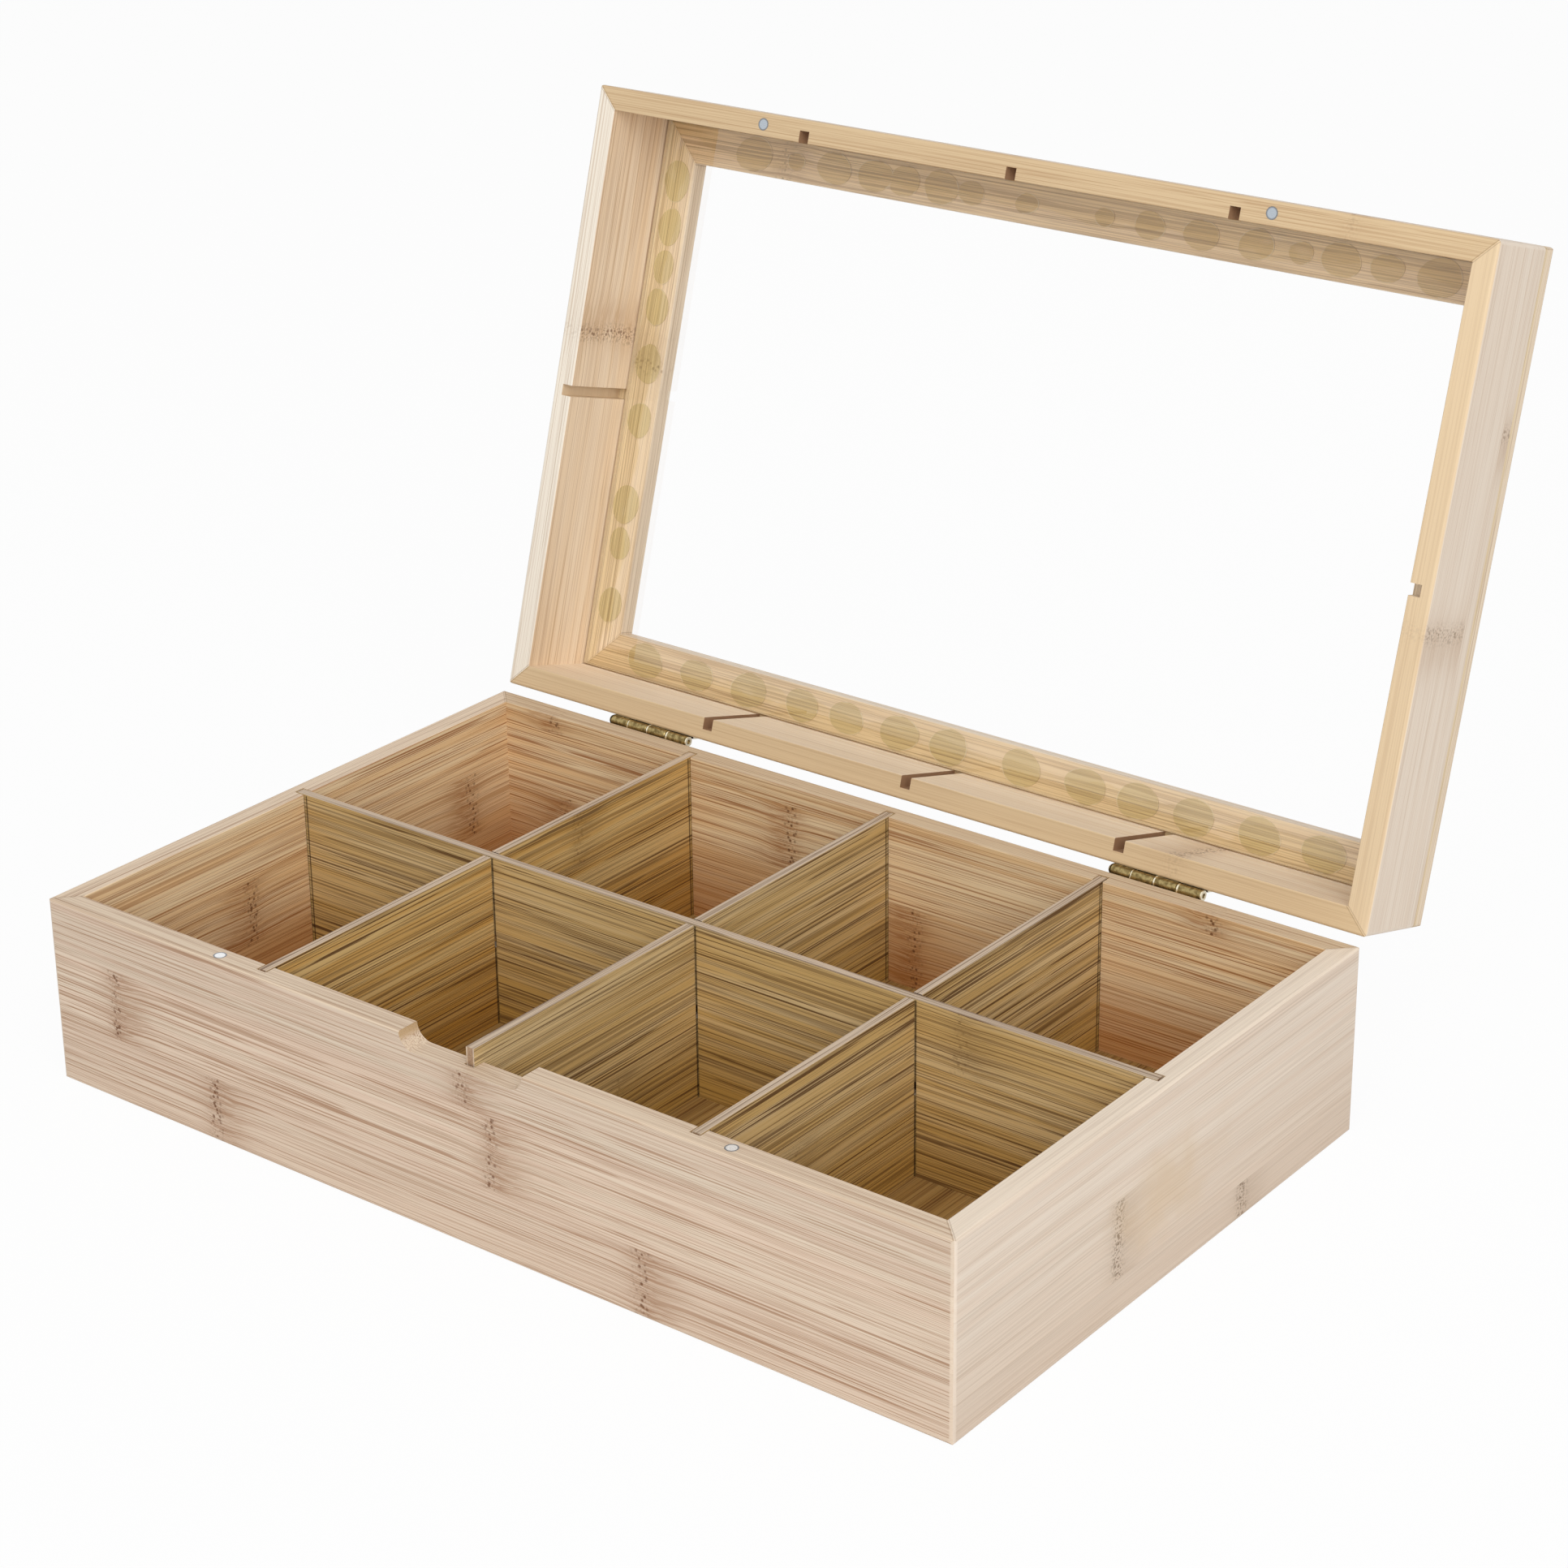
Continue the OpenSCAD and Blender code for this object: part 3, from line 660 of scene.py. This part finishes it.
# %% Window frame
FRAME_PAINT = {
    "Outer Pale": "#E2D0B4", "Outer Warm": "#DEC5A2", "Outer Thread": "#AC885E", "Outer Low": "#E2D0B4",
    "Inner Thread": "#9A744A", "Edge": "#F0DCC2", "Cut": "#C2A278", "Ply": "#C2A278", "Dot": "#8A6A44",
}
FRAME_SETTINGS = {
    "Mitre": (0, -1, 0), "Mitre All Round": 0.5, "Threads": 0.7, "Thread Size": 0.8, "Knots": 0.6,
}
STAIN_WIDTH = 15.0                  # from the frame's outer edge, in mm
STAIN_WANDER = 26.0                 # how far the stain's edge wanders in all
STAIN_STRETCH = (0.03, 0.10, 0.10)  # longer along the grain than across it
STAIN_TINT = (0.95, 0.925, 0.81)
LEDGE_DEPTH = 5.0                   # what lies deeper below the frame's outer face is its ledge

frame_boards = {
    "front": ("#F2D8B0", "#E8C898", 0.175),
    "right": ("#E2CAA4", "#D8BA90", 0.8),
    "back": ("#EAD2AC", "#E0C294", NOWHERE),
    "left": ("#FBE9CC", "#F4DCB6", 0.555),
}
frame_places = {side: board(f"window_frame_{side}", rail[0], flat=True, lid=True)
                for side, rail in lid_boards.items()}


def stained(tree, wood, point):
    """A thin run of glue has left the ledge beside the panel a little more olive."""
    stretched = add(tree, "VectorMath", {0: point, 1: STAIN_STRETCH}, operation="MULTIPLY")
    wander = add(tree, "TexNoise", {"Vector": stretched, "Scale": 1.0, "Detail": 3.0})
    wander = add(tree, "Math", {0: wander, 1: 0.5}, operation="SUBTRACT")
    place = add(tree, "SeparateXYZ", {0: point}).outputs
    edge = add(tree, "Math", {0: wander, 1: STAIN_WANDER, 2: place[1]}, operation="MULTIPLY_ADD")
    amount = add(tree, "MapRange", {"Value": edge, "From Min": STAIN_WIDTH, "From Max": STAIN_WIDTH - 1.5},
                 interpolation_type="SMOOTHSTEP")
    ledge = add(tree, "Math", {0: place[2], 1: -LEDGE_DEPTH}, operation="LESS_THAN")
    amount = add(tree, "Math", {0: amount, 1: ledge}, operation="MULTIPLY")
    darker = add(tree, "VectorMath", {0: wood, 1: STAIN_TINT}, operation="MULTIPLY")
    return add(tree, "Mix", {0: amount, 6: wood, 7: darker}, data_type="RGBA").outputs["Result"]


def frame_bamboo(name, side, place, tint=stained, **settings):
    """A window frame piece's material, which the glue on that piece shares."""
    pale, warm, knot = frame_boards[side]
    paint = {**FRAME_PAINT, "Inner Pale": pale, "Inner Warm": warm, "Inner Low": pale}
    return bamboo(name, place, [(0, 0.55, knot)], paint, Seed=lid_boards[side][1] + 2,
                  tint=tint, **FRAME_SETTINGS, **settings)


for side, place in frame_places.items():
    wear(f"window_frame_{side}", frame_bamboo("bamboo_window_frame_" + side, side, place))
    print(side, "frame piece, length and width:", [round(c, 1) for c in place["size"][:2]])

# %% [markdown]
# ## Dividers and bottom
#
# The dividers are three-ply: two bamboo veneers on a brown core. Their threads are longer,
# darker and more regular than a solid board's, and the wood between them is more olive. The
# bottom is a panel of many narrow strips that run from front to back.

# %% Dividers
def both_sides(pale, warm, thread, low):
    """The colours of a board whose two faces are alike."""
    return {f"{side} {part}": code for side in ("Outer", "Inner") for part, code in (
        ("Pale", pale), ("Warm", warm), ("Thread", thread), ("Low", low))}


PLY_PAINT = {
    **both_sides("#E2C794", "#D4B274", "#563414", "#C09440"),
    "Edge": "#CDB8A4", "Cut": "#D2BDA8", "Ply": "#A0806A", "Dot": "#553616",
}
GOLDEN_PLY_PAINT = {
    **PLY_PAINT, **both_sides("#DEBC7C", "#D0A45C", "#563414", "#B8822C"), "Outer Pale": "#E0C084",
}
PLY_CORE = 1.0       # half the thickness of a divider's core, in mm
# Painted shadow: dark lines in the narrow gaps beside a divider's neighbours and the walls.
LAP_EDGE = 1.65      # from the middle of a crossing to the dark gap beside it
LAP_LINE = {"From Min": 0.38, "From Max": 0.152}     # by the distance from the gap's middle
LAP_TOP = 0.1, 0.6   # the gaps fade in between these depths below the divider's top
LAP_SHARE = 0.8
WALL_GAP = 4.1       # how far a divider's end lies in a wall's groove


def painted_gap_shadows(gaps, height):
    """A tint of painted shadow that darkens a divider's faces, below its top, in the narrow gaps beside its
    neighbours.
    """
    below_top = {"From Min": height - LAP_TOP[0], "From Max": height - LAP_TOP[1]}

    def tint(tree, wood, point):
        place = add(tree, "SeparateXYZ", {0: point}).outputs
        nearest = FAR
        for gap in gaps:
            away = add(tree, "Math", {0: place[0], 1: gap}, operation="SUBTRACT")
            away = add(tree, "Math", {0: away}, operation="ABSOLUTE")
            nearest = add(tree, "Math", {0: away, 1: nearest}, operation="MINIMUM")
        line = add(tree, "MapRange", {"Value": nearest, **LAP_LINE})
        face = add(tree, "MapRange", {"Value": place[1], **below_top})
        gap = add(tree, "Math", {0: line, 1: face}, operation="MULTIPLY")
        return lay_over(tree, wood, colour("#2A190E"), gap, LAP_SHARE)
    return tint


crossings = []
for name in ("left_cross_divider", "middle_cross_divider", "right_cross_divider"):
    vertices = nodes[name].data.vertices
    crossings.append(1000 * sum(vertex.co.x for vertex in vertices) / len(vertices))
divider_strips = {
    "left_cross_divider": (90, 7, [
        (0, 0.3), (20.0, 0.6), (39.0, 0.8, 0.7)]),
    "middle_cross_divider": (90, 19, [
        (0, 0.4, 0.3), (22.0, 0.7), (42.0, 0.5)]),
    "right_cross_divider": (90, 31, [
        (0, 0.5), (17.0, 0.2, 0.2), (36.0, 0.6)]),
    "long_divider": (0, 43, [
        (0, 0.35, 0.4), (19.0, 0.65), (38.0, 0.45, 0.8)]),
}
for name, (turn, seed, strips) in divider_strips.items():
    place = board(name, turn)
    end = place["size"].x / 2 - WALL_GAP
    middles = crossings if name == "long_divider" else [0.0]
    ends = [end] if name == "middle_cross_divider" else [-end, end]
    gaps = ends + [middle + side * LAP_EDGE for middle in middles for side in (-1, 1)]
    paint = GOLDEN_PLY_PAINT if name == "left_cross_divider" else PLY_PAINT
    wear(name, bamboo("bamboo_ply_" + name, place, strips, paint, tint=painted_gap_shadows(gaps, place["size"].y),
                      Seed=seed, Mitre=(0, 0, 0), Knots=0.4, Thread_Size=0.85, Core=PLY_CORE, Slots=1.0))
    print(name, "has", len(strips), "strips and", len(gaps), "gaps")

# %% Bottom
BOTTOM_PAINT = {
    "Outer Pale": "#AC8A54", "Outer Warm": "#9E7A44", "Outer Thread": "#6A4620", "Outer Low": "#A68450",
    "Inner Pale": "#B28C52", "Inner Warm": "#A67C44", "Inner Thread": "#724E26", "Inner Low": "#B28C52",
    "Edge": "#B6945E", "Cut": "#B6945E", "Ply": "#B6945E", "Dot": "#4A3014",
}
BOTTOM_STRIPS = 15
place = board("bottom_panel", 90, flat=True)
strips = [(i * place["size"].y / BOTTOM_STRIPS, (i * 7 % 15) / 14, (i * 0.37) % 1.0)
          for i in range(BOTTOM_STRIPS)]
wear("bottom_panel", bamboo("bamboo_bottom", place, strips, BOTTOM_PAINT, Seed=3, Mitre=(0, 0, 0)))
print("bottom strips:", BOTTOM_STRIPS, "each", round(place["size"].y / BOTTOM_STRIPS, 1), "mm wide")

# %% [markdown]
# ## Clear panel
#
# Cast acrylic, perfectly smooth and without a colour of its own. A thin flat panel doesn't
# shift what is behind it, so what lies behind shows through, with a mirror over it whose
# strength Fresnel gives. Its sawn edges are matt, and painted in the colour of the wood round
# them, as a painted reflection.

# %% Clear panel
ACRYLIC_IOR = 1.49
SURFACES = 1.8       # the panel's two surfaces mirror nearly twice as much as one
WIPE_SCALE = 0.02    # wiping marks are some 50 mm wide
WIPE_HAZE = 0.03
material, tree = new_material("clear_acrylic")
point, normal = board_coordinates(tree, board("window_panel", flat=True, lid=True))
mirror = add(tree, "Fresnel", {"IOR": ACRYLIC_IOR})
behind = add(tree, "NewGeometry").outputs["Backfacing"]
front_only = add(tree, "Math", {0: 1.0, 1: behind}, operation="SUBTRACT")
amount = add(tree, "Math", {0: mirror, 1: front_only}, operation="MULTIPLY")
amount = add(tree, "Math", {0: amount, 1: SURFACES}, operation="MULTIPLY")
wiped = add(tree, "TexNoise", {"Vector": point, "Scale": WIPE_SCALE, "Detail": 2.0})
haze = add(tree, "Math", {0: wiped, 1: WIPE_HAZE}, operation="MULTIPLY")
gloss = add(tree, "BsdfPrincipled", {"Base Color": (1, 1, 1, 1), "Metallic": 1.0, "Roughness": haze})
clear = add(tree, "BsdfTransparent")
faces = add(tree, "MixShader", {0: amount, 1: clear, 2: gloss})
turned = add(tree, "VectorMath", {0: normal}, operation="ABSOLUTE")
out = add(tree, "SeparateXYZ", {0: turned}).outputs[2]
sawn = add(tree, "Math", {0: out, 1: 0.5}, operation="LESS_THAN")
# Painted reflection: the sawn edges are given the colour of the wood round them.
marks = add(tree, "TexNoise", {"Vector": point, "Scale": 1.5, "Detail": 1.0})
painted_edge_reflection = add(tree, "Mix", {0: marks, 6: colour("#D6C09C"), 7: colour("#E8D4B2")}, data_type="RGBA")
edges = add(tree, "BsdfDiffuse", {"Color": painted_edge_reflection})
both = add(tree, "MixShader", {0: sawn, 1: faces, 2: edges})
add(tree, "OutputMaterial", {"Surface": both})
wear("window_panel", material)
print("panel in mm:", [round(1000 * c, 1) for c in nodes["window_panel"].dimensions])

# %% [markdown]
# ## Metals
#
# The magnets are nickel-plated discs: a bright, faintly scratched face, and a greyer
# rounded edge. The hinges are stamped steel with a brass plating that has dulled in
# patches, and the wire they were rolled round left fine lines along the barrel.

# %% Nickel magnets
FACE_RADIUS = 1.45     # the bright face ends here, and the rounded edge begins, in mm
FACE_EDGE = {"From Min": FACE_RADIUS, "From Max": FACE_RADIUS + 0.25}
SCRATCHES = (0.6, 6, 6)
NICKEL_ROUGHNESS = 0.15
SCRATCH_ROUGHNESS = 0.25   # how much rougher a scratch is


def nickel(name, place, bright):
    material, tree = new_material(name)
    point = board_coordinates(tree, place)[0]
    middle = (0.0, -place["size"].y / 2, 0.0)
    point = add(tree, "VectorMath", {0: point, 1: middle}, operation="ADD")
    flat = add(tree, "VectorMath", {0: point, 1: (1, 1, 0)}, operation="MULTIPLY")
    radius = add(tree, "VectorMath", {0: flat}, operation="LENGTH").outputs["Value"]
    ring = add(tree, "MapRange", {"Value": radius, **FACE_EDGE})
    stretched = add(tree, "VectorMath", {0: point, 1: SCRATCHES}, operation="MULTIPLY")
    scratches = add(tree, "TexNoise", {"Vector": stretched, "Scale": 1.0, "Detail": 2.0})
    metal = add(tree, "Mix", {0: ring, 6: colour(bright), 7: colour("#8D9094")}, data_type="RGBA")
    rough = add(tree, "Math", {0: scratches, 1: SCRATCH_ROUGHNESS, 2: NICKEL_ROUGHNESS},
                operation="MULTIPLY_ADD")
    shader = add(tree, "BsdfPrincipled", {"Base Color": metal, "Metallic": 1.0, "Roughness": rough})
    add(tree, "OutputMaterial", {"Surface": shader})
    return material


for name in ("left_base_magnet", "right_base_magnet", "left_lid_magnet", "right_lid_magnet"):
    lid = "lid" in name
    # Painted reflection: the lid magnets' faces are painted greyer than the base magnets', for what they
    # reflect.
    bright = "#B8C0C8" if lid else "#EDEEEE"
    wear(name, nickel("nickel_plate_" + name, board(name, flat=True, lid=lid), bright))
    print(name, "diameter:", round(1000 * nodes[name].dimensions.x, 1))

# %% Brass plating
TARNISH = 1.3        # size of a dulled patch, in mm
BRASS_ROUGHNESS = 0.22
DULL_ROUGHNESS = 0.2   # how much rougher a dulled patch is
LINE_LENGTH = 5.0
LINE_SPACING = 0.3   # real drawing lines are finer, and wouldn't show
KNUCKLE = 8.5        # a quarter of a hinge's length
KNUCKLE_HIGHLIGHT_REACH = 0.35      # a painted highlight lies this near a knuckle's end


def brass(name, middle):
    """Brass plating, with painted highlights where the knuckles of the hinge at x = middle meet."""
    material, tree = new_material(name)
    place = add(tree, "TexCoord").outputs["Object"]
    patches = add(tree, "TexNoise", {"Vector": place, "Scale": 1000 / TARNISH, "Detail": 3.0})
    dull = add(tree, "MapRange", {"Value": patches, "From Min": 0.40, "From Max": 0.62})
    stretch = (1000 / LINE_LENGTH, 1000 / LINE_SPACING, 1000 / LINE_SPACING)
    lines = add(tree, "VectorMath", {0: place, 1: stretch}, operation="MULTIPLY")
    lines = add(tree, "TexNoise", {"Vector": lines, "Scale": 1.0, "Detail": 1.0})
    x = add(tree, "SeparateXYZ", {0: place}).outputs[0]
    x = add(tree, "Math", {0: x, 1: 1000.0, 2: -1000.0 * middle}, operation="MULTIPLY_ADD")
    away = add(tree, "Math", {0: x, 1: KNUCKLE}, operation="PINGPONG")
    away = add(tree, "Math", {0: away, 1: KNUCKLE / 2}, operation="PINGPONG")
    # Painted highlight at each knuckle's ends.
    knuckle_highlight = add(tree, "MapRange", {"Value": away, "From Min": KNUCKLE_HIGHLIGHT_REACH, "From Max": 0.5 * KNUCKLE_HIGHLIGHT_REACH})
    metal = add(tree, "Mix", {0: dull, 6: colour("#AC9868"), 7: colour("#786640")}, data_type="RGBA")
    metal = add(tree, "Mix", {0: knuckle_highlight, 6: metal, 7: colour("#F2E8CE")}, data_type="RGBA")
    rough = add(tree, "Math", {0: dull, 1: DULL_ROUGHNESS, 2: BRASS_ROUGHNESS}, operation="MULTIPLY_ADD")
    bump = add(tree, "Bump", {"Strength": 0.1, "Distance": 0.00003, "Height": lines})
    shader = add(tree, "BsdfPrincipled", {"Base Color": metal, "Metallic": 1.0, "Roughness": rough,
                                          "Normal": bump})
    add(tree, "OutputMaterial", {"Surface": shader})
    return material


for side in ("left", "right"):
    xs = [vertex.co.x for vertex in nodes[side + "_hinge_pin"].data.vertices]
    brass_plate = brass("brass_plate_" + side, (min(xs) + max(xs)) / 2)
    hinge_parts = [name for name in nodes if "hinge" in name and ("screws" in name or name.startswith(side))]
    for name in hinge_parts:
        wear(name, brass_plate)
    print(side, "brass-plated pieces:", hinge_parts)

# %% [markdown]
# ## The glue
#
# The panel is held by drops of clear glue that were squeezed flat between it and the window
# frame. A drop never spreads to a true circle. Each one starts from its disc in the CAD
# model: a bmesh circle gets its radius pushed in and out by two slow waves, an inset marks
# its outline, and it is extruded to a thin pad. Clear glue wets the wood like varnish, so a
# pad shows the frame's own grain, a little deeper in tone, with a painted highlight here and
# there on its outline.

# %% Glue drops: places
GLUE_GAP = 0.03        # keeps a pad's faces off the panel and the frame, in mm
GAP_STEP = 0.02        # pads lie at three heights, this far apart
GLUE_SPREAD = 1.28     # how far a drop ran along the ledge
OUTLINE = 0.0004       # the width of a pad's outline, in metres
WAVES = ((2, 1.7, 0.035), (3, 2.9, 0.02))     # how often, turned how far from pad to pad, how strong
LONG_LEDGES = 0.088    # drops farther than this from the middle lie on the front or back ledge, in metres
SIDES = ("front", "right", "back", "left")
HINGE_LINE = Matrix.Translation((0, 0.1063, 0.0622))
swing = HINGE_LINE @ Matrix.Rotation(-OPEN_ANGLE, 4, "X") @ HINGE_LINE.inverted()


def islands(mesh):
    """The corners of each separate solid in a mesh of loose triangles."""
    shape = bmesh.new()
    shape.from_mesh(mesh)
    bmesh.ops.remove_doubles(shape, verts=shape.verts, dist=1e-6)
    left = set(shape.verts)
    found = []
    while left:
        front = [left.pop()]
        solid = []
        while front:
            vert = front.pop()
            solid.append(vert.co.copy())
            for edge in vert.link_edges:
                other = edge.other_vert(vert)
                if other in left:
                    left.remove(other)
                    front.append(other)
        found.append(solid)
    shape.free()
    return found


def drop_box(solid):
    """The lowest and highest corner of a drop when the lid is shut, and the side it is on."""
    shut = [swing.inverted() @ co for co in solid]
    low = Vector(min(co[i] for co in shut) for i in range(3))
    high = Vector(max(co[i] for co in shut) for i in range(3))
    middle = (low + high) / 2
    if abs(middle.y) > LONG_LEDGES:
        return low, high, "front" if middle.y < 0 else "back"
    return low, high, "left" if middle.x < 0 else "right"


drops = [drop_box(solid) for solid in islands(nodes["glue_dots"].data)]
drops.sort(key=lambda drop: (drop[2], round(drop[0].x, 4), round(drop[0].y, 4)))
print("glue drops:", {side: sum(drop[2] == side for drop in drops) for side in SIDES})


# %% Glue drops: shapes
def glue_pad(shape, edge, number, low, high, side):
    """Adds one squashed drop to shape, drawn where it lies when the lid is shut."""
    radius = (high.x - low.x) / 2
    made = bmesh.ops.create_circle(shape, cap_ends=True, radius=radius, segments=40)
    for vert in made["verts"]:
        angle = math.atan2(vert.co.y, vert.co.x)
        vert.co *= 1 + sum(share * math.sin(often * angle + number * shift) for often, shift, share in WAVES)
        vert.co[1 if side in ("left", "right") else 0] *= GLUE_SPREAD
        vert[edge] = 1.0
    face = made["verts"][0].link_faces[0]
    ring = bmesh.ops.inset_individual(shape, faces=[face], thickness=OUTLINE, use_even_offset=True)["faces"]
    for vert in face.verts:
        vert[edge] = 0.0
    flat = ring + [face]
    pad = bmesh.ops.extrude_face_region(shape, geom=flat)["geom"]
    top = [item for item in pad if isinstance(item, bmesh.types.BMVert)]
    bottom = list({vert for item in flat for vert in item.verts})
    gap = (GLUE_GAP + GAP_STEP * (number % 3)) / 1000
    bmesh.ops.translate(shape, verts=top, vec=(0, 0, high.z - low.z - gap - GLUE_GAP / 1000))
    place = ((low.x + high.x) / 2, (low.y + high.y) / 2, low.z + gap)
    bmesh.ops.translate(shape, verts=bottom + top, vec=place)
    for vert in bottom + top:
        for item in vert.link_faces:
            item.material_index = SIDES.index(side)


shape = bmesh.new()
edge = shape.verts.layers.float.new("outline")
for number, (low, high, side) in enumerate(drops):
    glue_pad(shape, edge, number, low, high, side)
bmesh.ops.recalc_face_normals(shape, faces=shape.faces)
bmesh.ops.transform(shape, matrix=swing, verts=shape.verts)
mesh = bpy.data.meshes.new("glue_pads")
shape.to_mesh(mesh)
shape.free()
pads = new_object("glue_pads", mesh)
print("glue pads:", len(drops), "triangles:", sum(len(p.vertices) - 2 for p in mesh.polygons))

# %% Glue drops: finish
GLUE_TINTS = {
    "front": (0.84, 0.79, 0.60),
    "right": (0.82, 0.83, 0.68),
    "back": (0.82, 0.82, 0.67),
    "left": (0.82, 0.82, 0.65),
}
GLUE_STEP = 0.27       # a pad's face lies this far below the ledge, in mm
# Painted highlight on parts of a pad's outline.
OUTLINE_HIGHLIGHT = {"From Min": 0.46, "From Max": 0.58}     # where the outline shines
OUTLINE_HIGHLIGHT_SHARE = 0.6


def wet(side):
    """A tint: glue deepens the wood's colour, and parts of a pad's outline get a painted highlight."""
    def tint(tree, wood, point):
        wood = stained(tree, wood, point)
        wood = add(tree, "VectorMath", {0: wood, 1: GLUE_TINTS[side]}, operation="MULTIPLY")
        outline = add(tree, "Attribute", attribute_name="outline").outputs["Fac"]
        highlight_arcs = add(tree, "TexNoise", {"Vector": point, "Scale": 0.25, "Detail": 1.0})
        highlight_arcs = add(tree, "MapRange", {"Value": highlight_arcs, **OUTLINE_HIGHLIGHT})
        bright = add(tree, "Math", {0: outline, 1: highlight_arcs}, operation="MULTIPLY")
        return lay_over(tree, wood, colour("#EADCBC"), bright, OUTLINE_HIGHLIGHT_SHARE)
    return tint


for side in SIDES:
    place = dict(frame_places[side])
    place["offset"] = place["offset"] + Vector((0, 0, GLUE_STEP))
    finish = frame_bamboo("dried_glue_" + side, side, place, rough=0.3, tint=wet(side))
    pads.data.materials.append(finish)
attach(pads, "lid")
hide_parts("glue_dots")
print("glue finishes:", len(pads.data.materials))

# %% [markdown]
# ## Camera
#
# The camera's place and lens were fitted to the box's corners: it stands in front of the
# right end, a little above the open lid's middle, and looks down. A small shift keeps the
# uprights upright, as the real picture does.

# %% Camera
CAMERA_PLACE = Vector((0.6279, -0.7595, 0.5408))
HEADING = 36.89
DOWN = 22.28
ROLL = -0.227
camera = new_object("camera", bpy.data.cameras.new("camera"))
camera.data.lens = 83.19
camera.data.sensor_width = 36
camera.data.shift_x = -0.0399
camera.data.shift_y = -0.0600
turn = (Matrix.Rotation(math.radians(HEADING), 4, "Z") @ Matrix.Rotation(math.radians(90 - DOWN), 4, "X")
        @ Matrix.Rotation(math.radians(ROLL), 4, "Z"))
camera.matrix_world = Matrix.Translation(CAMERA_PLACE) @ turn
bpy.context.scene.camera = camera
print("camera is", round(CAMERA_PLACE.length, 2), "m from the box's middle")

# %% [markdown]
# ## Floor, background and lights
#
# A white table in a white tent. The floor is a matt white disc that shows itself a little
# brighter to the camera, so it runs into the background, and it keeps the box's soft
# shadow. One large lamp stands in front on the right, and the tent fills in the rest.

# %% Floor
FLOOR_RADIUS = 12.0      # in metres
FLOOR_GLOW = 0.94        # how much of it the camera sees as plain white
mesh = bpy.data.meshes.new("floor")
shape = bmesh.new()
bmesh.ops.create_circle(shape, cap_ends=True, radius=FLOOR_RADIUS, segments=64)
shape.to_mesh(mesh)
shape.free()
floor = new_object("floor", mesh)
material, tree = new_material("pale_floor")
paint = add(tree, "BsdfDiffuse", {"Color": colour("#F4F4F4")})
glow = add(tree, "Emission", {"Color": (1, 1, 1, 1), "Strength": 1.0})
seen = add(tree, "LightPath")
direct = add(tree, "Math", {0: seen.outputs["Is Camera Ray"], 1: seen.outputs["Is Transmission Ray"]},
             operation="MAXIMUM")
amount = add(tree, "Math", {0: direct, 1: FLOOR_GLOW}, operation="MULTIPLY")
both = add(tree, "MixShader", {0: amount, 1: paint, 2: glow})
add(tree, "OutputMaterial", {"Surface": both})
mesh.materials.append(material)
print("floor radius:", FLOOR_RADIUS, "m")

# %% Background
TENT = 0.50      # the light that the tent gives from all sides
world = bpy.data.worlds.new("studio")
bpy.context.scene.world = world
world.use_nodes = True
tree = world.node_tree
tree.nodes.clear()
seen = add(tree, "LightPath")
shown = add(tree, "Math", {0: seen.outputs["Is Camera Ray"], 1: seen.outputs["Is Glossy Ray"]},
            operation="MAXIMUM")
shown = add(tree, "Math", {0: shown, 1: seen.outputs["Is Transmission Ray"]}, operation="MAXIMUM")
level = add(tree, "Mix", {0: shown, 2: TENT, 3: 1.0}, data_type="FLOAT")
sky = add(tree, "Background", {"Color": (1, 1, 1, 1), "Strength": level})
add(tree, "OutputWorld", {"Surface": sky})
print("light from the tent:", TENT)


# %% Lamps
def lamp(name, place, target, size, power):
    light = bpy.data.lights.new(name, "AREA")
    light.size = size
    light.energy = power
    made = new_object(name, light)
    made.location = place
    made.rotation_euler = (Vector(target) - Vector(place)).to_track_quat("-Z", "Y").to_euler()


lamp("key", place=(1.3, -1.45, 1.6), target=(0, 0, 0.05), size=2.2, power=41)
bpy.context.scene.view_settings.view_transform = "Standard"
print("lamps:", [light.name for light in bpy.data.lights])
